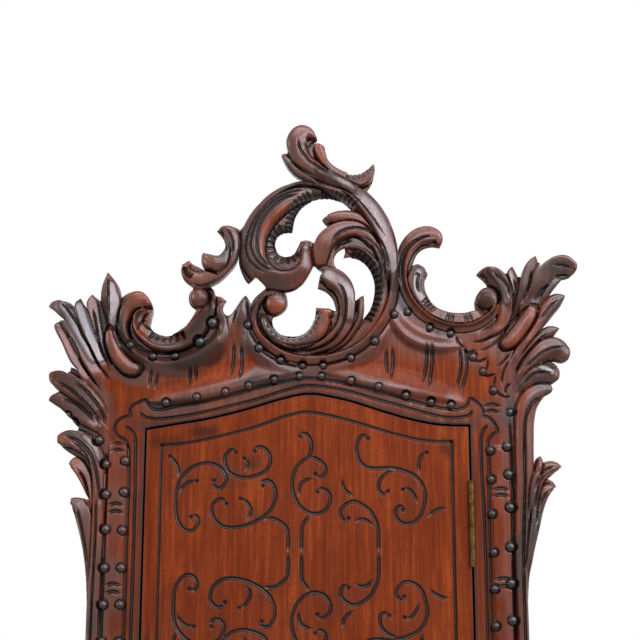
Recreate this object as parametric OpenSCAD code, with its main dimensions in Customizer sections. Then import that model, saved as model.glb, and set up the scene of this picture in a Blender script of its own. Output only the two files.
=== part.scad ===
// Carved wall cabinet: a shallow hanging cupboard with one door, an openwork
// crest, carved stiles and a carved apron. Millimetres. X is to the right, the
// front faces -Y, +Z is up, and the wall is the plane Y = 0. The origin is
// midway between the two wall screws.

/* [Door and opening] */
// Width of the door
door_w = 304; // [280:1:320]
// Height of the door opening at its left corner
opening_h = 491; // [440:1:560]
// Gap between the door and the frame all round
door_gap = 2; // [1.5:0.1:2.5]
// Gap between the back of the door and its stops
stop_gap = 0.5; // [0.3:0.1:1]

/* [Carved frame] */
// Thickness of the boards of the carved frame
frame_t = 20; // [18:0.5:24]
// Height of the crest above the wall screws
crest_h = 247; // [220:1:270]
// Height of the apron below the door opening
apron_h = 106; // [90:1:130]
// Share by which the carving beside the door is widened
side_spread = 1; // [0.95:0.01:1.1]
// How far the lowest step of the carving stands out
low_relief = 3.5; // [2:0.1:5]
// How far the highest step of the carving stands out
high_relief = 8; // [6:0.1:9]
// Radius of the dowels that join the frame
dowel_r = 4; // [3:0.1:5]
// Length of a frame dowel
dowel_l = 40; // [30:1:50]

/* [Carcass] */
// Depth of the carcass behind the frame
carcass_d = 130; // [110:1:170]
// Thickness of the sides, the top and the bottom
board_t = 16; // [14:0.5:20]
// How far the sides stand back from the door opening
side_setback = 12; // [11:0.5:14]
// Drop from the wall screws to the top of the carcass
top_drop = 12; // [11:0.5:14]
// Drop of the carcass floor below the door opening
floor_drop = 2; // [1:0.5:5]
// Thickness of the back panel
back_t = 6; // [5:0.5:8]
// Depth that the back panel is let into each side
back_rebate = 8; // [6:0.5:10]
// Height of the hanging rail
rail_h = 40; // [30:1:60]
// Thickness of the hanging rail
rail_t = 18; // [14:0.5:22]
// Thickness of a shelf
shelf_t = 12; // [10:0.5:16]
// How far the shelves stand back from the carved frame
shelf_setback = 22; // [18:0.5:30]
// Gap between a shelf and the sides
shelf_gap = 0.4; // [0.3:0.1:1]
// Height of the upper shelf above the carcass floor
upper_shelf_z = 325; // [300:1:345]
// Height of the lower shelf above the carcass floor
lower_shelf_z = 165; // [130:1:185]
// Radius of a shelf pin
shelf_pin_r = 2.5; // [2:0.1:3]
// How far a shelf pin stands out of the side
shelf_pin_out = 8; // [6:0.5:10]
// Depth of the hole that a shelf pin sits in
shelf_pin_in = 9; // [7:0.5:10]
// Size of a glue block behind the frame
block_w = 14; // [10:0.5:16]
// Length of a glue block
block_l = 60; // [40:1:80]

/* [Hanging] */
// Distance between the two wall screws
hanger_spacing = 220; // [180:1:240]
// Radius of the hole for a wall screw
hanger_hole_r = 3; // [2.5:0.1:4]
// Width of a hanger plate
hanger_w = 26; // [22:0.5:30]
// Thickness of a hanger plate
hanger_t = 3; // [2:0.1:4]
// How far a hanger plate reaches below the top of the carcass
hanger_drop = 46; // [42:1:50]

/* [Hinges] */
// Length of a butt hinge
hinge_l = 76; // [65:1:90]
// Distance from the top of the opening's right side to the upper hinge
hinge_from_top = 54; // [44:1:64]
// Distance from the foot of the opening to the lower hinge
hinge_from_foot = 40; // [30:1:60]
// Outer radius of the hinge knuckles
knuckle_r = 3; // [2.8:0.1:3.4]
// Radius of the hinge pin
pin_r = 1.5; // [1.3:0.1:1.8]
// Running clearance between the pin and its knuckles
pin_clear = 0.05; // [0.02:0.01:0.1]
// Thickness of a hinge leaf
leaf_t = 2; // [1.6:0.1:2.2]
// How far the hinge axis stands in front of the frame
pin_proud = 2; // [1.8:0.1:2.4]
// Number of knuckles on a hinge
knuckles = 5; // [3:2:7]
// Width of a hinge leaf beside its knuckles
leaf_w = 16.5; // [14:0.5:17]
// Clearance between the knuckles and the wood
knuckle_clear = 0.4; // [0.3:0.1:0.6]
// Height of the head on each end of a hinge pin
pin_head_h = 1.3; // [1:0.1:1.5]
// Gap between neighbouring knuckles
knuckle_gap = 0.3; // [0.2:0.1:0.5]

/* [Lock and fasteners] */
// Height of the keyhole above the foot of the door opening
key_up = 246; // [215:1:270]
// Distance from the door's left edge to the keyhole
key_in = 27; // [25:1:34]
// Radius of the key's shank
key_r = 2.4; // [2:0.1:2.8]
// Radius that the key's bit sweeps
key_bit_r = 8; // [7:0.1:9]
// Height of the lock case
lock_h = 46; // [44:1:54]
// Width of the lock case
lock_w = 46; // [44:1:54]
// Depth of the lock case
lock_d = 12; // [11:0.5:13]
// Wall of the lock case
lock_wall = 1.6; // [1.4:0.1:2]
// Travel of the bolt
bolt_throw = 6; // [4:0.5:7]
// Height of the bolt
bolt_h = 8; // [6:0.5:9]
// Thickness of the bolt
bolt_t = 4; // [3:0.1:5]
// Distance from the back of the door to the bolt
bolt_in = 2; // [2:0.1:3]
// Radius of a wood screw's shank
screw_r = 1.5; // [1.2:0.1:1.7]
// Radius of a wood screw's head
screw_head_r = 2.8; // [2.4:0.1:3]
// Clearance round screws, pins and dowels that are fixed in their holes
fixed_clear = 0.05; // [0.02:0.01:0.1]

/* [Hidden] */
$fn = 48;

// The carving is drawn for these sizes of the door and the crest.
drawn_half = 154;
drawn_crest = 247;
// Line where the crest meets the stiles, below the wall screws
stile_top = -58;
// Corner and foot of the door opening
corner_z = -55;
right_corner_z = -51.5;
sill_z = corner_z - opening_h;
half_open = door_w / 2 + door_gap;
door_t = frame_t - stop_gap;
front_y = -carcass_d - frame_t;
side_in = half_open + side_setback;
side_out = side_in + board_t;
roof_z = -top_drop;
floor_z = sill_z - floor_drop;
foot_z = floor_z - board_t;
// The back panel stands off the wall by the thickness of the hanger plates.
panel_back_y = -hanger_t;
panel_front_y = panel_back_y - back_t;
door_back_y = front_y + door_t;
hinge_x = half_open - door_gap / 2;
hinge_y = front_y - pin_proud;
upper_hinge_z = right_corner_z - hinge_from_top - hinge_l / 2;
lower_hinge_z = sill_z + hinge_from_foot + hinge_l / 2;
key_x = -door_w / 2 + key_in;
key_z = sill_z + key_up;
lock_front_y = door_back_y;
lock_back_y = lock_front_y + lock_d;
lock_left_x = -door_w / 2 + 1.5;
bolt_z = key_z + key_bit_r + 1 + bolt_h / 2;
strike_w = bolt_throw + 3;
strike_t = 1.5;
strike_h = 40;
batten_t = 12;
batten_h = 35;
nail_r = 0.9;
lock_low_z = key_z - lock_h * 0.45;
border_in = 14.5;
border_w = 2.5;
dowel_x = [side_in + 8, side_in + 24];
dowel_y = -carcass_d - frame_t / 2;
wood = "#7a3015";
wood_in = "#8a4a28";
brass = "#a98649";
steel = "#77736c";

// Crest outline in runs with a corner between each two, from the lower left
// round the top to the lower right. Each point is [x, z].
crest_runs = [
    [[-217, -58], [-217.5, -54], [-221, -50], [-227, -43], [-234, -36.5], [-241, -32.5], [-245, -30]],
    [[-245, -30], [-244, -26], [-241, -23], [-236, -20.5]],
    [[-236, -20.5], [-241, -16.5], [-245, -10], [-246, -4], [-245, -2]],
    [[-245, -2], [-239, -0.5], [-233, -1], [-228, -3.5]],
    [[-228, -3.5], [-227.5, 0], [-226.5, 3.5]],
    [[-226.5, 3.5], [-223, 2], [-219, 0]],
    [[-219, 0], [-224, 5], [-229, 13], [-234, 24], [-239, 33], [-243.5, 40]],
    [[-243.5, 40], [-242.5, 44], [-238, 47], [-232.5, 47.5]],
    [[-232.5, 47.5], [-238, 52], [-244, 57.5], [-249, 61]],
    [[-249, 61], [-247, 65.5], [-242, 68], [-236, 68], [-230, 66], [-224.5, 61]],
    [[-224.5, 61], [-223, 65.5], [-219, 69.5]],
    [[-219, 69.5], [-216, 64], [-212, 60]],
    [[-212, 60], [-212.5, 66], [-208, 73.5]],
    [[-208, 73.5], [-204, 70.5], [-200.3, 67.8]],
    [[-200.3, 67.8], [-200.5, 77], [-198.5, 86], [-194.5, 96.5]],
    [[-194.5, 96.5], [-188, 89], [-183, 81], [-180.3, 71.5]],
    [[-180.3, 71.5], [-174, 76], [-167, 77.5], [-159, 75.5], [-152.5, 68.5], [-149.3, 59], [-150.5, 50],
        [-151.5, 43], [-149, 38.5], [-142, 35], [-134, 34.2], [-127, 36.5], [-119, 42.5], [-113, 50],
        [-108, 59]],
    [[-108, 59], [-113.5, 63.5], [-115.5, 70], [-114.5, 76], [-110.5, 80.5]],
    [[-110.5, 80.5], [-116, 84], [-121, 89.5], [-123.3, 97], [-122, 104], [-116, 108.5]],
    [[-116, 108.5], [-112, 104.5], [-106, 101.5], [-100.5, 98]],
    [[-100.5, 98], [-103.5, 104], [-104, 111], [-102.5, 116.5]],
    [[-102.5, 116.5], [-96, 114.8], [-89, 113.5], [-84, 115.5], [-81, 121], [-82, 128], [-85.5, 133.5],
        [-89.5, 138]],
    [[-89.5, 138], [-84, 142], [-76, 143], [-71, 141.5], [-67, 139]],
    [[-67, 139], [-63, 144], [-57, 155], [-48, 166.5], [-38, 176], [-26, 183.5], [-13, 187.8], [-4, 188.7]],
    [[-4, 188.7], [-12, 192.5], [-19, 199.5], [-23.5, 207], [-27, 215]],
    [[-27, 215], [-24, 217.5], [-19.5, 217.5]],
    [[-19.5, 217.5], [-21.7, 225], [-21.5, 233], [-17, 240.5], [-11, 245.5], [-4, 247], [2, 244],
        [6.5, 238.5], [9, 231.5]],
    [[9, 231.5], [5, 228.5], [10, 228.5], [15, 226], [16.8, 221], [18.5, 212], [24, 205], [33, 199.5],
        [43, 196.5], [52, 198.5], [60, 203.5], [65, 207]],
    [[65, 207], [65.7, 199], [63, 187], [57.8, 178.5]],
    [[57.8, 178.5], [65, 171.5], [73, 161], [80, 148], [85, 133], [87.5, 117]],
    [[87.5, 117], [90, 125], [97, 134.5], [106, 141], [115, 143.2], [124, 141], [130, 135.5], [131.3, 128],
        [128.5, 121]],
    [[128.5, 121], [121, 122], [113, 120], [106, 114], [101, 101.5]],
    [[101, 101.5], [106, 103], [112, 100.5], [116.3, 95], [113.5, 88], [112.5, 80], [115, 72.5], [121, 63.5],
        [130, 58], [140, 55.8], [151, 55.8], [161.5, 59]],
    [[161.5, 59], [161, 66], [163, 73], [168, 79], [175, 81.8]],
    [[175, 81.8], [170, 88], [163.5, 94]],
    [[163.5, 94], [168, 99], [176, 101.7], [184, 100.5], [192.7, 94.5]],
    [[192.7, 94.5], [194.5, 98.5], [198, 101.3]],
    [[198, 101.3], [202, 96], [205.5, 88.5]],
    [[205.5, 88.5], [208.5, 98], [213, 106], [220.5, 111.7]],
    [[220.5, 111.7], [223.3, 106], [224, 100.5]],
    [[224, 100.5], [230, 105.5], [238, 110.3], [247, 112], [255, 110.3], [260, 104], [259, 96.5],
        [253, 90.8], [246, 89]],
    [[246, 89], [241, 83], [236, 77], [232.5, 72]],
    [[232.5, 72], [238, 74.5], [243, 74.3], [247.5, 72]],
    [[247.5, 72], [244, 63], [237, 54], [230, 46], [224.5, 40]],
    [[224.5, 40], [230, 42.3], [236, 42.2], [241, 40]],
    [[241, 40], [238.5, 36.5], [236.5, 33]],
    [[236.5, 33], [243, 30.5], [248.5, 25], [250.3, 17], [248, 10], [243, 7], [237, 8.3], [232, 9.3]],
    [[232, 9.3], [237.5, 5.5], [240.8, -1], [239, -8], [230.5, -14.8]],
    [[230.5, -14.8], [232, -18.5], [229.5, -22.5], [223, -26.5], [218, -35], [215, -47], [214, -58]]];
// Opening between the S scroll and the ring
gap_outer = [
    [[-67, 117], [-67.5, 106], [-65, 97], [-61.5, 89.5], [-58, 85]],
    [[-58, 85], [-54, 88.5], [-51, 91.5]],
    [[-51, 91.5], [-46, 86.5], [-40.5, 81]],
    [[-40.5, 81], [-47, 75.5], [-52, 70.5], [-55.2, 65]],
    [[-55.2, 65], [-57, 69], [-60.3, 73.8]],
    [[-60.3, 73.8], [-65, 69], [-70, 60.5], [-74, 54.3], [-78, 53.3], [-81.5, 56.5], [-81.8, 62], [-79, 68]],
    [[-79, 68], [-84, 72], [-89.5, 73]],
    [[-89.5, 73], [-91, 78.5], [-95, 81.5]],
    [[-95, 81.5], [-86, 86.5], [-78, 94], [-71.5, 102], [-68.5, 108.5], [-67, 117]]];
// Opening inside the ring
gap_ring = [
    [[-7.5, 127.5], [-2, 128.7], [3, 127.3], [6.5, 125]],
    [[6.5, 125], [8.5, 131], [13, 137], [20, 142]],
    [[20, 142], [16.5, 145], [13.5, 149.5]],
    [[13.5, 149.5], [20, 155], [28, 158], [36, 158.3], [43, 157.5]],
    [[43, 157.5], [36, 164], [26, 168], [15, 169.5], [5, 167.5], [-5, 160.5], [-12, 151], [-15.5, 138]],
    [[-15.5, 138], [-24, 137], [-30, 132.5], [-32.5, 125], [-30.5, 118], [-25, 113.5], [-17, 114],
        [-11.5, 119], [-7.5, 127.5]]];
// Opening between the fluted scroll and the leaf beside it
gap_flute = [
    [[28, 99.8], [25.5, 105], [25.8, 112], [29.5, 117.5], [35.5, 121]],
    [[35.5, 121], [36, 116.5], [34.5, 111]],
    [[34.5, 111], [43, 110], [52, 105.5], [59.5, 97], [64, 86], [64, 73], [60, 60], [53, 50]],
    [[53, 50], [54.5, 60], [54, 73.8]],
    [[54, 73.8], [50, 71.8], [45.3, 67.5]],
    [[45.3, 67.5], [45, 77], [41, 88], [35, 95.5], [28, 99.8]]];
// Opening under the volute
gap_volute = [
    [[-33.5, 52], [-26, 55], [-20.5, 61], [-19.7, 68.5], [-22, 76]],
    [[-22, 76], [-13, 79], [-5, 85], [1, 94], [5.5, 103]],
    [[5.5, 103], [9.5, 99.5], [14.5, 95.5]],
    [[14.5, 95.5], [11, 89.5], [9.3, 80.5]],
    [[9.3, 80.5], [17.5, 76.8], [24, 69.5], [27.3, 58]],
    [[27.3, 58], [18, 60.8], [8, 61.5]],
    [[8, 61.5], [5.8, 50], [0, 40], [-8, 34.7], [-17, 33.8], [-26, 36], [-32.5, 42], [-34.5, 48],
        [-33.5, 52]]];
// Outer edge of the left stile, from the crest down
left_runs = [
    [[-217, -58], [-224, -57], [-231, -59], [-237, -63.5]],
    [[-237, -63.5], [-235, -69], [-229, -75], [-218.5, -82]],
    [[-218.5, -82], [-223, -84.5], [-225, -88.5]],
    [[-225, -88.5], [-218, -96], [-211.5, -106], [-203.5, -122]],
    [[-203.5, -122], [-210, -120.3], [-216, -119.7], [-222, -120.5]],
    [[-222, -120.5], [-219, -131], [-214.5, -146], [-209, -166], [-205, -190], [-203, -215]]];
// Outer edge of the right stile, from the crest down
right_runs = [
    [[214, -58], [213, -72], [213, -88.5]],
    [[213, -88.5], [215, -84], [219, -81]],
    [[219, -81], [221, -83.5], [222, -86.7]],
    [[222, -86.7], [229, -85.5], [235, -87.3], [239, -91]],
    [[239, -91], [232, -97], [225.5, -102.5]],
    [[225.5, -102.5], [230, -105], [233, -109.5]],
    [[233, -109.5], [225, -118], [219.5, -131], [215, -148], [209, -170], [205, -192], [203, -215]]];
// Outer edge at the foot of the right stile, heights above the sill; the left
// stile has its mirror image.
foot_runs = [
    [[203, 160], [205, 130], [209, 105], [215, 80], [222, 60]],
    [[222, 60], [214, 61], [206, 63]],
    [[206, 63], [211, 44], [217, 28], [225, 14]],
    [[225, 14], [219, 15], [213, 18]],
    [[213, 18], [211, 9], [213, 0]]];
// Lower edge of the apron's right half, heights above the apron's lowest point
apron_runs = [
    [[213, 106], [222, 99], [231, 88], [237, 74], [239, 60]],
    [[239, 60], [231, 62], [222, 68]],
    [[222, 68], [224, 57], [222, 45], [216, 34]],
    [[216, 34], [208, 40], [201, 48], [195, 57]],
    [[195, 57], [186, 47], [174, 41], [160, 42], [149, 50], [143, 61]],
    [[143, 61], [130, 55], [115, 52], [100, 54], [88, 60]],
    [[88, 60], [86, 47], [79, 35], [67, 27]],
    [[67, 27], [62, 35], [54, 40], [44, 41]],
    [[44, 41], [40, 28], [30, 16], [18, 8], [0, 0]]];
// Top of the door opening from left to right
opening_top = [[-154, -55], [-125, -50], [-95, -45], [-60, -36.5], [-30, -27.5], [-10, -22.5], [1, -21.3],
    [12, -22], [40, -28], [70, -37.5], [100, -46], [125, -50.5], [154, -51.5]];

// Carved scrolls and leaves: each is a list of [x, z, half width, height].
crest_strokes = [
    [[-26, 74, 2, 6], [-36, 74, 3, 7], [-45, 69, 3, 7], [-51, 60, 3, 7], [-52, 48, 3, 7], [-48, 35, 3.5, 7],
        [-39, 25, 4, 7], [-25, 15.5, 4, 7], [-8, 10.5, 4, 7], [8, 10, 4, 7], [25, 12.5, 4, 7],
        [42, 18.5, 4, 7], [57, 29, 4, 8], [69, 43, 4, 8], [78, 58, 4, 9], [83, 74, 4, 9], [84.5, 92, 4, 10],
        [83.5, 112, 4.5, 10], [79, 131, 5, 10], [70.5, 149, 6, 10], [58, 163, 6.5, 10], [43, 174, 6, 10],
        [25, 181, 5.5, 9], [5, 185, 3.5, 8]],
    [[14, 176, 4, 7], [0, 177, 8, 9], [-16, 173, 11, 10], [-32, 163, 12, 11], [-45, 149, 12, 11],
        [-53, 132, 12, 11], [-54.5, 114, 12, 11], [-48, 99, 12, 10], [-37, 90, 11, 10], [-24, 87, 10, 9],
        [-12, 90, 9.5, 9], [-3, 98, 9, 9], [-0.5, 110, 6.5, 8], [-1, 121, 6, 7]],
    [[-30, 63, 10.5, 10], [-29.5, 63, 10.5, 10]],
    [[8, 233, 1.5, 5], [1, 238, 6, 9], [-7, 236, 10, 11], [-12, 227, 9.5, 11], [-10, 216, 9, 10],
        [-3, 206, 9, 10], [8, 198, 9, 10], [22, 191, 8, 9], [38, 185, 6, 9], [50, 178, 5, 8]],
    [[-25, 215, 1.5, 5], [-20, 207, 5.5, 8], [-11, 199, 6, 8], [1, 193, 5, 8]],
    [[11, 227, 2, 6], [13.5, 219, 3.5, 8], [15, 209, 5.5, 9], [23, 200, 6, 9], [36, 192.5, 6, 8],
        [50, 190, 7, 8], [60, 196, 4, 8], [64, 205, 1, 5]],
    [[18, 149.5, 4, 7], [30, 150, 7, 9], [43, 149, 7, 9], [56, 143, 7, 9], [66, 131, 6.5, 9], [72, 115, 5.5, 9],
        [74, 98, 5, 8]],
    [[12, 98, 4, 6], [12, 110, 6.5, 9], [14, 122, 8, 11], [22, 132, 8, 11], [34, 138, 7.5, 10],
        [46, 139, 6, 9]],
    [[37, 119, 4, 7], [48, 116, 5, 8], [58, 108, 6, 8], [66, 96, 6, 8], [69, 82, 6, 8], [67, 66, 6, 8],
        [61, 52, 6, 7], [52, 40, 5, 6]],
    [[22, 96, 4, 7], [24, 90, 9.5, 10], [32, 84, 9, 11], [37, 73, 8, 11], [38, 60, 7, 10], [36, 47, 7, 9],
        [30, 36, 6.5, 9], [20, 27, 6, 8], [8, 21.5, 5, 8]],
    [[25, 56, 2.5, 7], [17, 54, 6, 8], [13, 46, 8, 9], [9, 37, 8, 8], [-1, 29.5, 6, 8], [-14, 26, 5.5, 8],
        [-28, 29.5, 5.5, 8], [-38, 39, 4.5, 8], [-42, 50, 4, 7]],
    [[51, 69, 3, 6], [50.5, 61, 3, 7], [48, 50, 3.5, 7], [42, 39, 3.5, 7], [33, 29, 3, 7]],
    [[-88, 137, 1.5, 5], [-82, 138.5, 3.5, 8], [-76, 135, 7, 9], [-73, 127, 7, 9], [-72.5, 116, 6, 9],
        [-77, 105, 7.5, 9], [-84, 97, 9, 9], [-94, 90.5, 9, 9], [-104, 88, 8, 9], [-113, 90, 7.5, 9],
        [-118.5, 97, 5, 8], [-118, 104, 3.5, 7]],
    [[-101, 114, 2, 6], [-98, 107, 6, 9], [-91, 105.5, 7.5, 10], [-84, 109, 4.5, 9], [-79.5, 118, 3, 8],
        [-80.5, 128, 3, 8]],
    [[-105, 70, 10, 9], [-104.5, 70, 10, 9]],
    [[-92, 77, 2, 7], [-93, 68, 4, 8], [-97, 54, 6, 8], [-105, 42, 7, 8], [-116, 32, 8.5, 8],
        [-130, 26, 8.5, 8], [-144, 27, 8.5, 8], [-155, 33, 9, 9], [-160, 43, 9, 10], [-156, 53, 6, 9],
        [-151, 57, 2, 7]],
    [[-151, 63, 3, 7], [-158, 69, 7, 9], [-167, 68.5, 8, 9], [-175, 60, 6, 9], [-178, 48, 5, 8],
        [-175, 35, 4.5, 8], [-168, 24, 4, 7], [-156, 16, 4, 6], [-140, 13, 4, 5], [-124, 14.5, 4, 5],
        [-108, 22, 4, 5], [-96, 33, 4, 5]],
    [[-80, 67, 1.5, 6], [-85, 63, 4.5, 8], [-87, 52, 5, 8], [-87, 41, 5, 7], [-90, 30, 4, 6]],
    [[-60, 71, 1.5, 5], [-63, 62, 5, 8], [-65, 50, 7, 8], [-66, 37, 8, 8], [-64, 24, 8, 7], [-58, 12, 6, 6]],
    [[-245, 62, 3.5, 5], [-238, 60, 6.5, 8], [-229, 52, 8, 9], [-222, 40, 8, 10], [-215, 26, 7.5, 10],
        [-208, 12, 7, 9], [-201, 0, 6, 8], [-193, -11, 5, 6]],
    [[-219, 66, 2, 6], [-218, 58, 4, 8], [-215, 46, 5, 9], [-210, 32, 5, 9], [-204, 17, 5, 9], [-197, 3, 4, 7]],
    [[-208, 70, 2, 6], [-207, 62, 4.5, 8], [-206, 50, 5, 8], [-204, 36, 4.5, 8], [-200, 20, 4.5, 8],
        [-195, 6, 4, 7]],
    [[-194.5, 93, 1, 4], [-193, 83, 6, 8], [-191, 70, 9, 9], [-190, 56, 8, 8], [-189, 46, 5, 7]],
    [[-192, 37, 5, 6], [-188, 25, 7, 8], [-182, 13, 7.5, 9], [-175, 4, 7, 8], [-168, 1, 5, 7]],
    [[-241, 42, 3, 5], [-235, 37, 7, 8], [-229, 27, 7.5, 9], [-223, 15, 7, 9], [-217, 3, 6.5, 8],
        [-210, -9, 6, 7], [-203, -20, 4, 5]],
    [[-243, -7, 4, 5], [-236, -9, 8, 8], [-228, -14, 8, 9], [-219, -21, 8, 9], [-210, -29, 7.5, 8],
        [-202, -38, 6, 7], [-195, -49, 3.5, 5]],
    [[-243, -28, 2.5, 5], [-236, -29, 6, 8], [-227, -33, 7.5, 8], [-218, -38, 7.5, 8], [-208, -45, 7, 7],
        [-199, -53, 4, 6]],
    [[127.5, 124, 3, 6], [126, 131, 6, 8], [118, 134, 8, 9], [107, 131, 8, 9], [98, 122, 7, 9],
        [93, 110, 6, 9], [92, 97, 5.5, 9], [94, 83, 5.5, 9], [99, 70, 5.5, 8], [108, 57, 5.5, 8],
        [119, 48, 5, 8], [132, 43, 5, 8], [146, 41, 5, 8], [160, 43, 5, 8], [173, 51, 5, 8], [181, 61, 4.5, 8],
        [182, 72, 4, 8], [176, 80, 3, 7]],
    [[105, 101, 2.5, 6], [109, 95, 6, 8], [106, 85, 6.5, 9], [108, 74, 6.5, 9], [115, 63, 7, 9],
        [126, 55, 6, 8], [139, 51, 5.5, 8], [153, 51, 5.5, 8], [165, 55, 4.5, 7]],
    [[172, 70, 10, 10], [172.5, 70, 10, 10]],
    [[166, 94.5, 2, 6], [174, 95, 6, 8], [182, 90, 8, 9], [187.5, 80, 7, 9], [190, 68, 6, 9],
        [190, 56, 5.5, 8], [184, 44, 5, 7], [173, 36, 4.5, 7], [160, 32, 4.5, 6], [147, 33, 3.5, 5]],
    [[197.5, 98, 1.5, 5], [198, 90, 4.5, 8], [199, 76, 4.5, 9], [199, 64, 4, 8], [196, 54, 3, 6]],
    [[219, 109, 2, 5], [216, 101, 6.5, 8], [212, 90, 7, 9], [210, 78, 6.5, 9], [206, 66, 6, 8],
        [200, 55, 5, 7], [192, 46, 4, 6]],
    [[253, 101, 6, 6], [246, 101, 9.5, 9], [237, 99, 10, 10], [229, 92, 10, 10], [223, 82, 8, 10],
        [219, 71, 6, 9]],
    [[244, 88, 2, 5], [238, 83, 5, 8], [231, 75, 5, 9], [225, 66, 5, 9]],
    [[217, 59, 5, 6], [211, 50, 8, 8], [203, 40, 9, 9], [196, 31, 8, 8], [190, 25, 5, 7]],
    [[245, 71, 2, 5], [238, 66, 5, 8], [231, 58, 6, 9], [223, 48, 6, 9], [215, 36, 6, 9], [207, 23, 6, 8],
        [200, 9, 5, 7], [196, -5, 4, 6]],
    [[239, 39, 2, 5], [233, 38, 4, 8], [226, 33, 4.5, 8], [218, 25, 4, 8], [211, 16, 3.5, 8]],
    [[241, 18, 8, 8], [232, 20, 9, 9], [222, 17, 8.5, 9], [214, 9, 7, 9], [207, -2, 6, 8], [202, -14, 5, 7]],
    [[233, -4, 6.5, 7], [226, -2, 8, 8], [218, -4, 7, 8], [211, -10, 6, 8], [205, -19, 5, 7]],
    [[227, -19, 4, 6], [219, -21, 6, 8], [211, -27, 7, 9], [206, -37, 7.5, 9], [204, -52, 8, 9]]];
// Cushion moulding over the door, in two halves
cushion_strokes = [
    [[-143, -24, 4, 5], [-125, -15, 9, 8], [-100, -9, 12, 9], [-75, -4, 13, 9], [-50, -1, 10, 8],
        [-25, -1, 6, 6], [0, -1, 4.5, 5]],
    [[0, -1, 4.5, 5], [25, -1, 6, 6], [50, -4, 10, 8], [75, -9, 12, 9], [100, -15, 12, 9], [122, -21, 9, 8],
        [142, -29, 4, 5]]];
left_strokes = [
    [[-234, -64, 2.5, 5], [-226, -65, 6, 8], [-216, -70, 6.5, 9], [-207, -79, 6, 9], [-201, -90, 5, 8],
        [-197, -104, 4.5, 8], [-195, -125, 4, 7], [-194, -150, 4, 7], [-195, -180, 4, 6], [-196, -215, 4, 6]],
    [[-222, -88, 2, 5], [-215, -92, 4, 7], [-208, -102, 5, 8], [-204, -115, 4.5, 8], [-202, -132, 4, 7],
        [-201, -155, 3, 6]],
    [[-218, -123, 2.5, 5], [-213, -131, 5, 8], [-209, -145, 5.5, 8], [-205, -165, 4.5, 7],
        [-201, -190, 3, 6]]];
right_strokes = [
    [[204, -64, 8, 9], [203, -80, 8, 9], [202, -105, 7, 9], [201, -135, 6, 8], [199, -170, 5, 7],
        [197, -215, 4.5, 6]],
    [[236, -91, 2, 5], [228, -92, 5, 8], [219, -97, 6, 8], [213, -108, 5, 8], [210, -124, 4, 7],
        [208, -145, 3, 6]],
    [[230, -109, 2, 5], [223, -113, 4.5, 8], [216, -125, 4.5, 8], [212, -142, 4, 7], [208, -165, 3, 6]]];
// Carving at the foot of the right stile, heights above the sill
foot_strokes = [
    [[197, 160, 4.5, 6], [199, 125, 5, 7], [204, 95, 5, 8], [211, 76, 4.5, 8], [219, 63, 2, 5]],
    [[196, 110, 4, 6], [199, 70, 5, 8], [207, 42, 5.5, 8], [216, 24, 4.5, 8], [223, 16, 2, 5]],
    [[196, 50, 4, 6], [201, 25, 5.5, 8], [208, 6, 6, 8]]];
// Carving on the right half of the apron, heights above the lowest point
apron_strokes = [
    [[204, 105, 8, 8], [214, 97, 7.5, 9], [224, 86, 7, 9], [232, 74, 5, 8], [237, 63, 2, 5]],
    [[192, 98, 6, 7], [203, 85, 7.5, 9], [213, 70, 7, 9], [218, 54, 5, 8], [217, 38, 2, 5]],
    [[200, 52, 4, 6], [189, 57, 6, 8], [175, 50, 7, 9], [161, 51, 7, 9], [151, 60, 7, 9], [150, 72, 6.5, 9],
        [158, 80, 6, 9], [168, 77, 4.5, 8]],
    [[143, 70, 4, 6], [128, 64, 6, 8], [113, 62, 7, 9], [98, 64, 7, 9], [84, 70, 6, 8], [70, 74, 5, 7]],
    [[80, 56, 5, 6], [76, 44, 6, 8], [66, 36, 5, 8], [56, 46, 5, 8]],
    [[46, 74, 4, 6], [40, 60, 6, 8], [36, 46, 6, 9], [30, 32, 5.5, 8], [20, 20, 4, 7]],
    [[16, 76, 4, 6], [14, 56, 6, 9], [9, 34, 6, 9], [2, 12, 4, 7]]];
apron_cushion = [[0, 86, 6, 6], [40, 86, 8, 8], [80, 86, 9, 8], [120, 86, 8, 8], [150, 87, 4, 5]];

// Point of a smooth curve through four chosen points
function blend(a, b, c, d, t) = 0.5 * (2 * b + (c - a) * t + (2 * a - 5 * b + 4 * c - d) * t * t
    + (3 * b - a - 3 * c + d) * t * t * t);
function curve(run, steps) = [for (i = [0:len(run) - 2]) for (j = [0:steps - 1])
    blend(run[max(i - 1, 0)], run[i], run[i + 1], run[min(i + 2, len(run) - 1)], j / steps)];
function outline(runs, steps = 2) = [for (run = runs) each curve(run, steps)];
// Drawn widths follow the door, and drawn heights over the screws the crest.
function wide(x) = abs(x) <= drawn_half ? x * half_open / drawn_half
    : sign(x) * (half_open + (abs(x) - drawn_half) * side_spread);
function tall(z) = z > 0 ? z * crest_h / drawn_crest : z;
function fit(points) = [for (p = points) [wide(p[0]), tall(p[1])]];
function mirror_run(points) = [for (p = points) [-p[0], p[1]]];
function raised(points, lift) = [for (p = points) [p[0], p[1] + lift]];
function backward(points) = [for (i = [len(points) - 1:-1:0]) points[i]];
function heading(s, i) = let (a = s[max(i - 1, 0)], b = s[min(i + 1, len(s) - 1)], d = [b[0] - a[0], b[1] - a[1]])
    d / norm(d);
function edge(s, i, side) = let (d = heading(s, i))
    [s[i][0] - side * d[1] * s[i][2], s[i][1] + side * d[0] * s[i][2]];
// What is left of a rounded stroke at a height above the board
function cut_stroke(s, lift) = [for (p = s) if (p[3] > lift + 0.5)
    [p[0], p[1], p[2] * sqrt(1 - pow(lift / p[3], 2))]];
function set_stroke(s, lift) = [for (p = s) [wide(p[0]), tall(p[1] + lift), p[2], p[3]]];
function flip_stroke(s) = [for (p = s) [-p[0], p[1], p[2], p[3]]];

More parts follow.
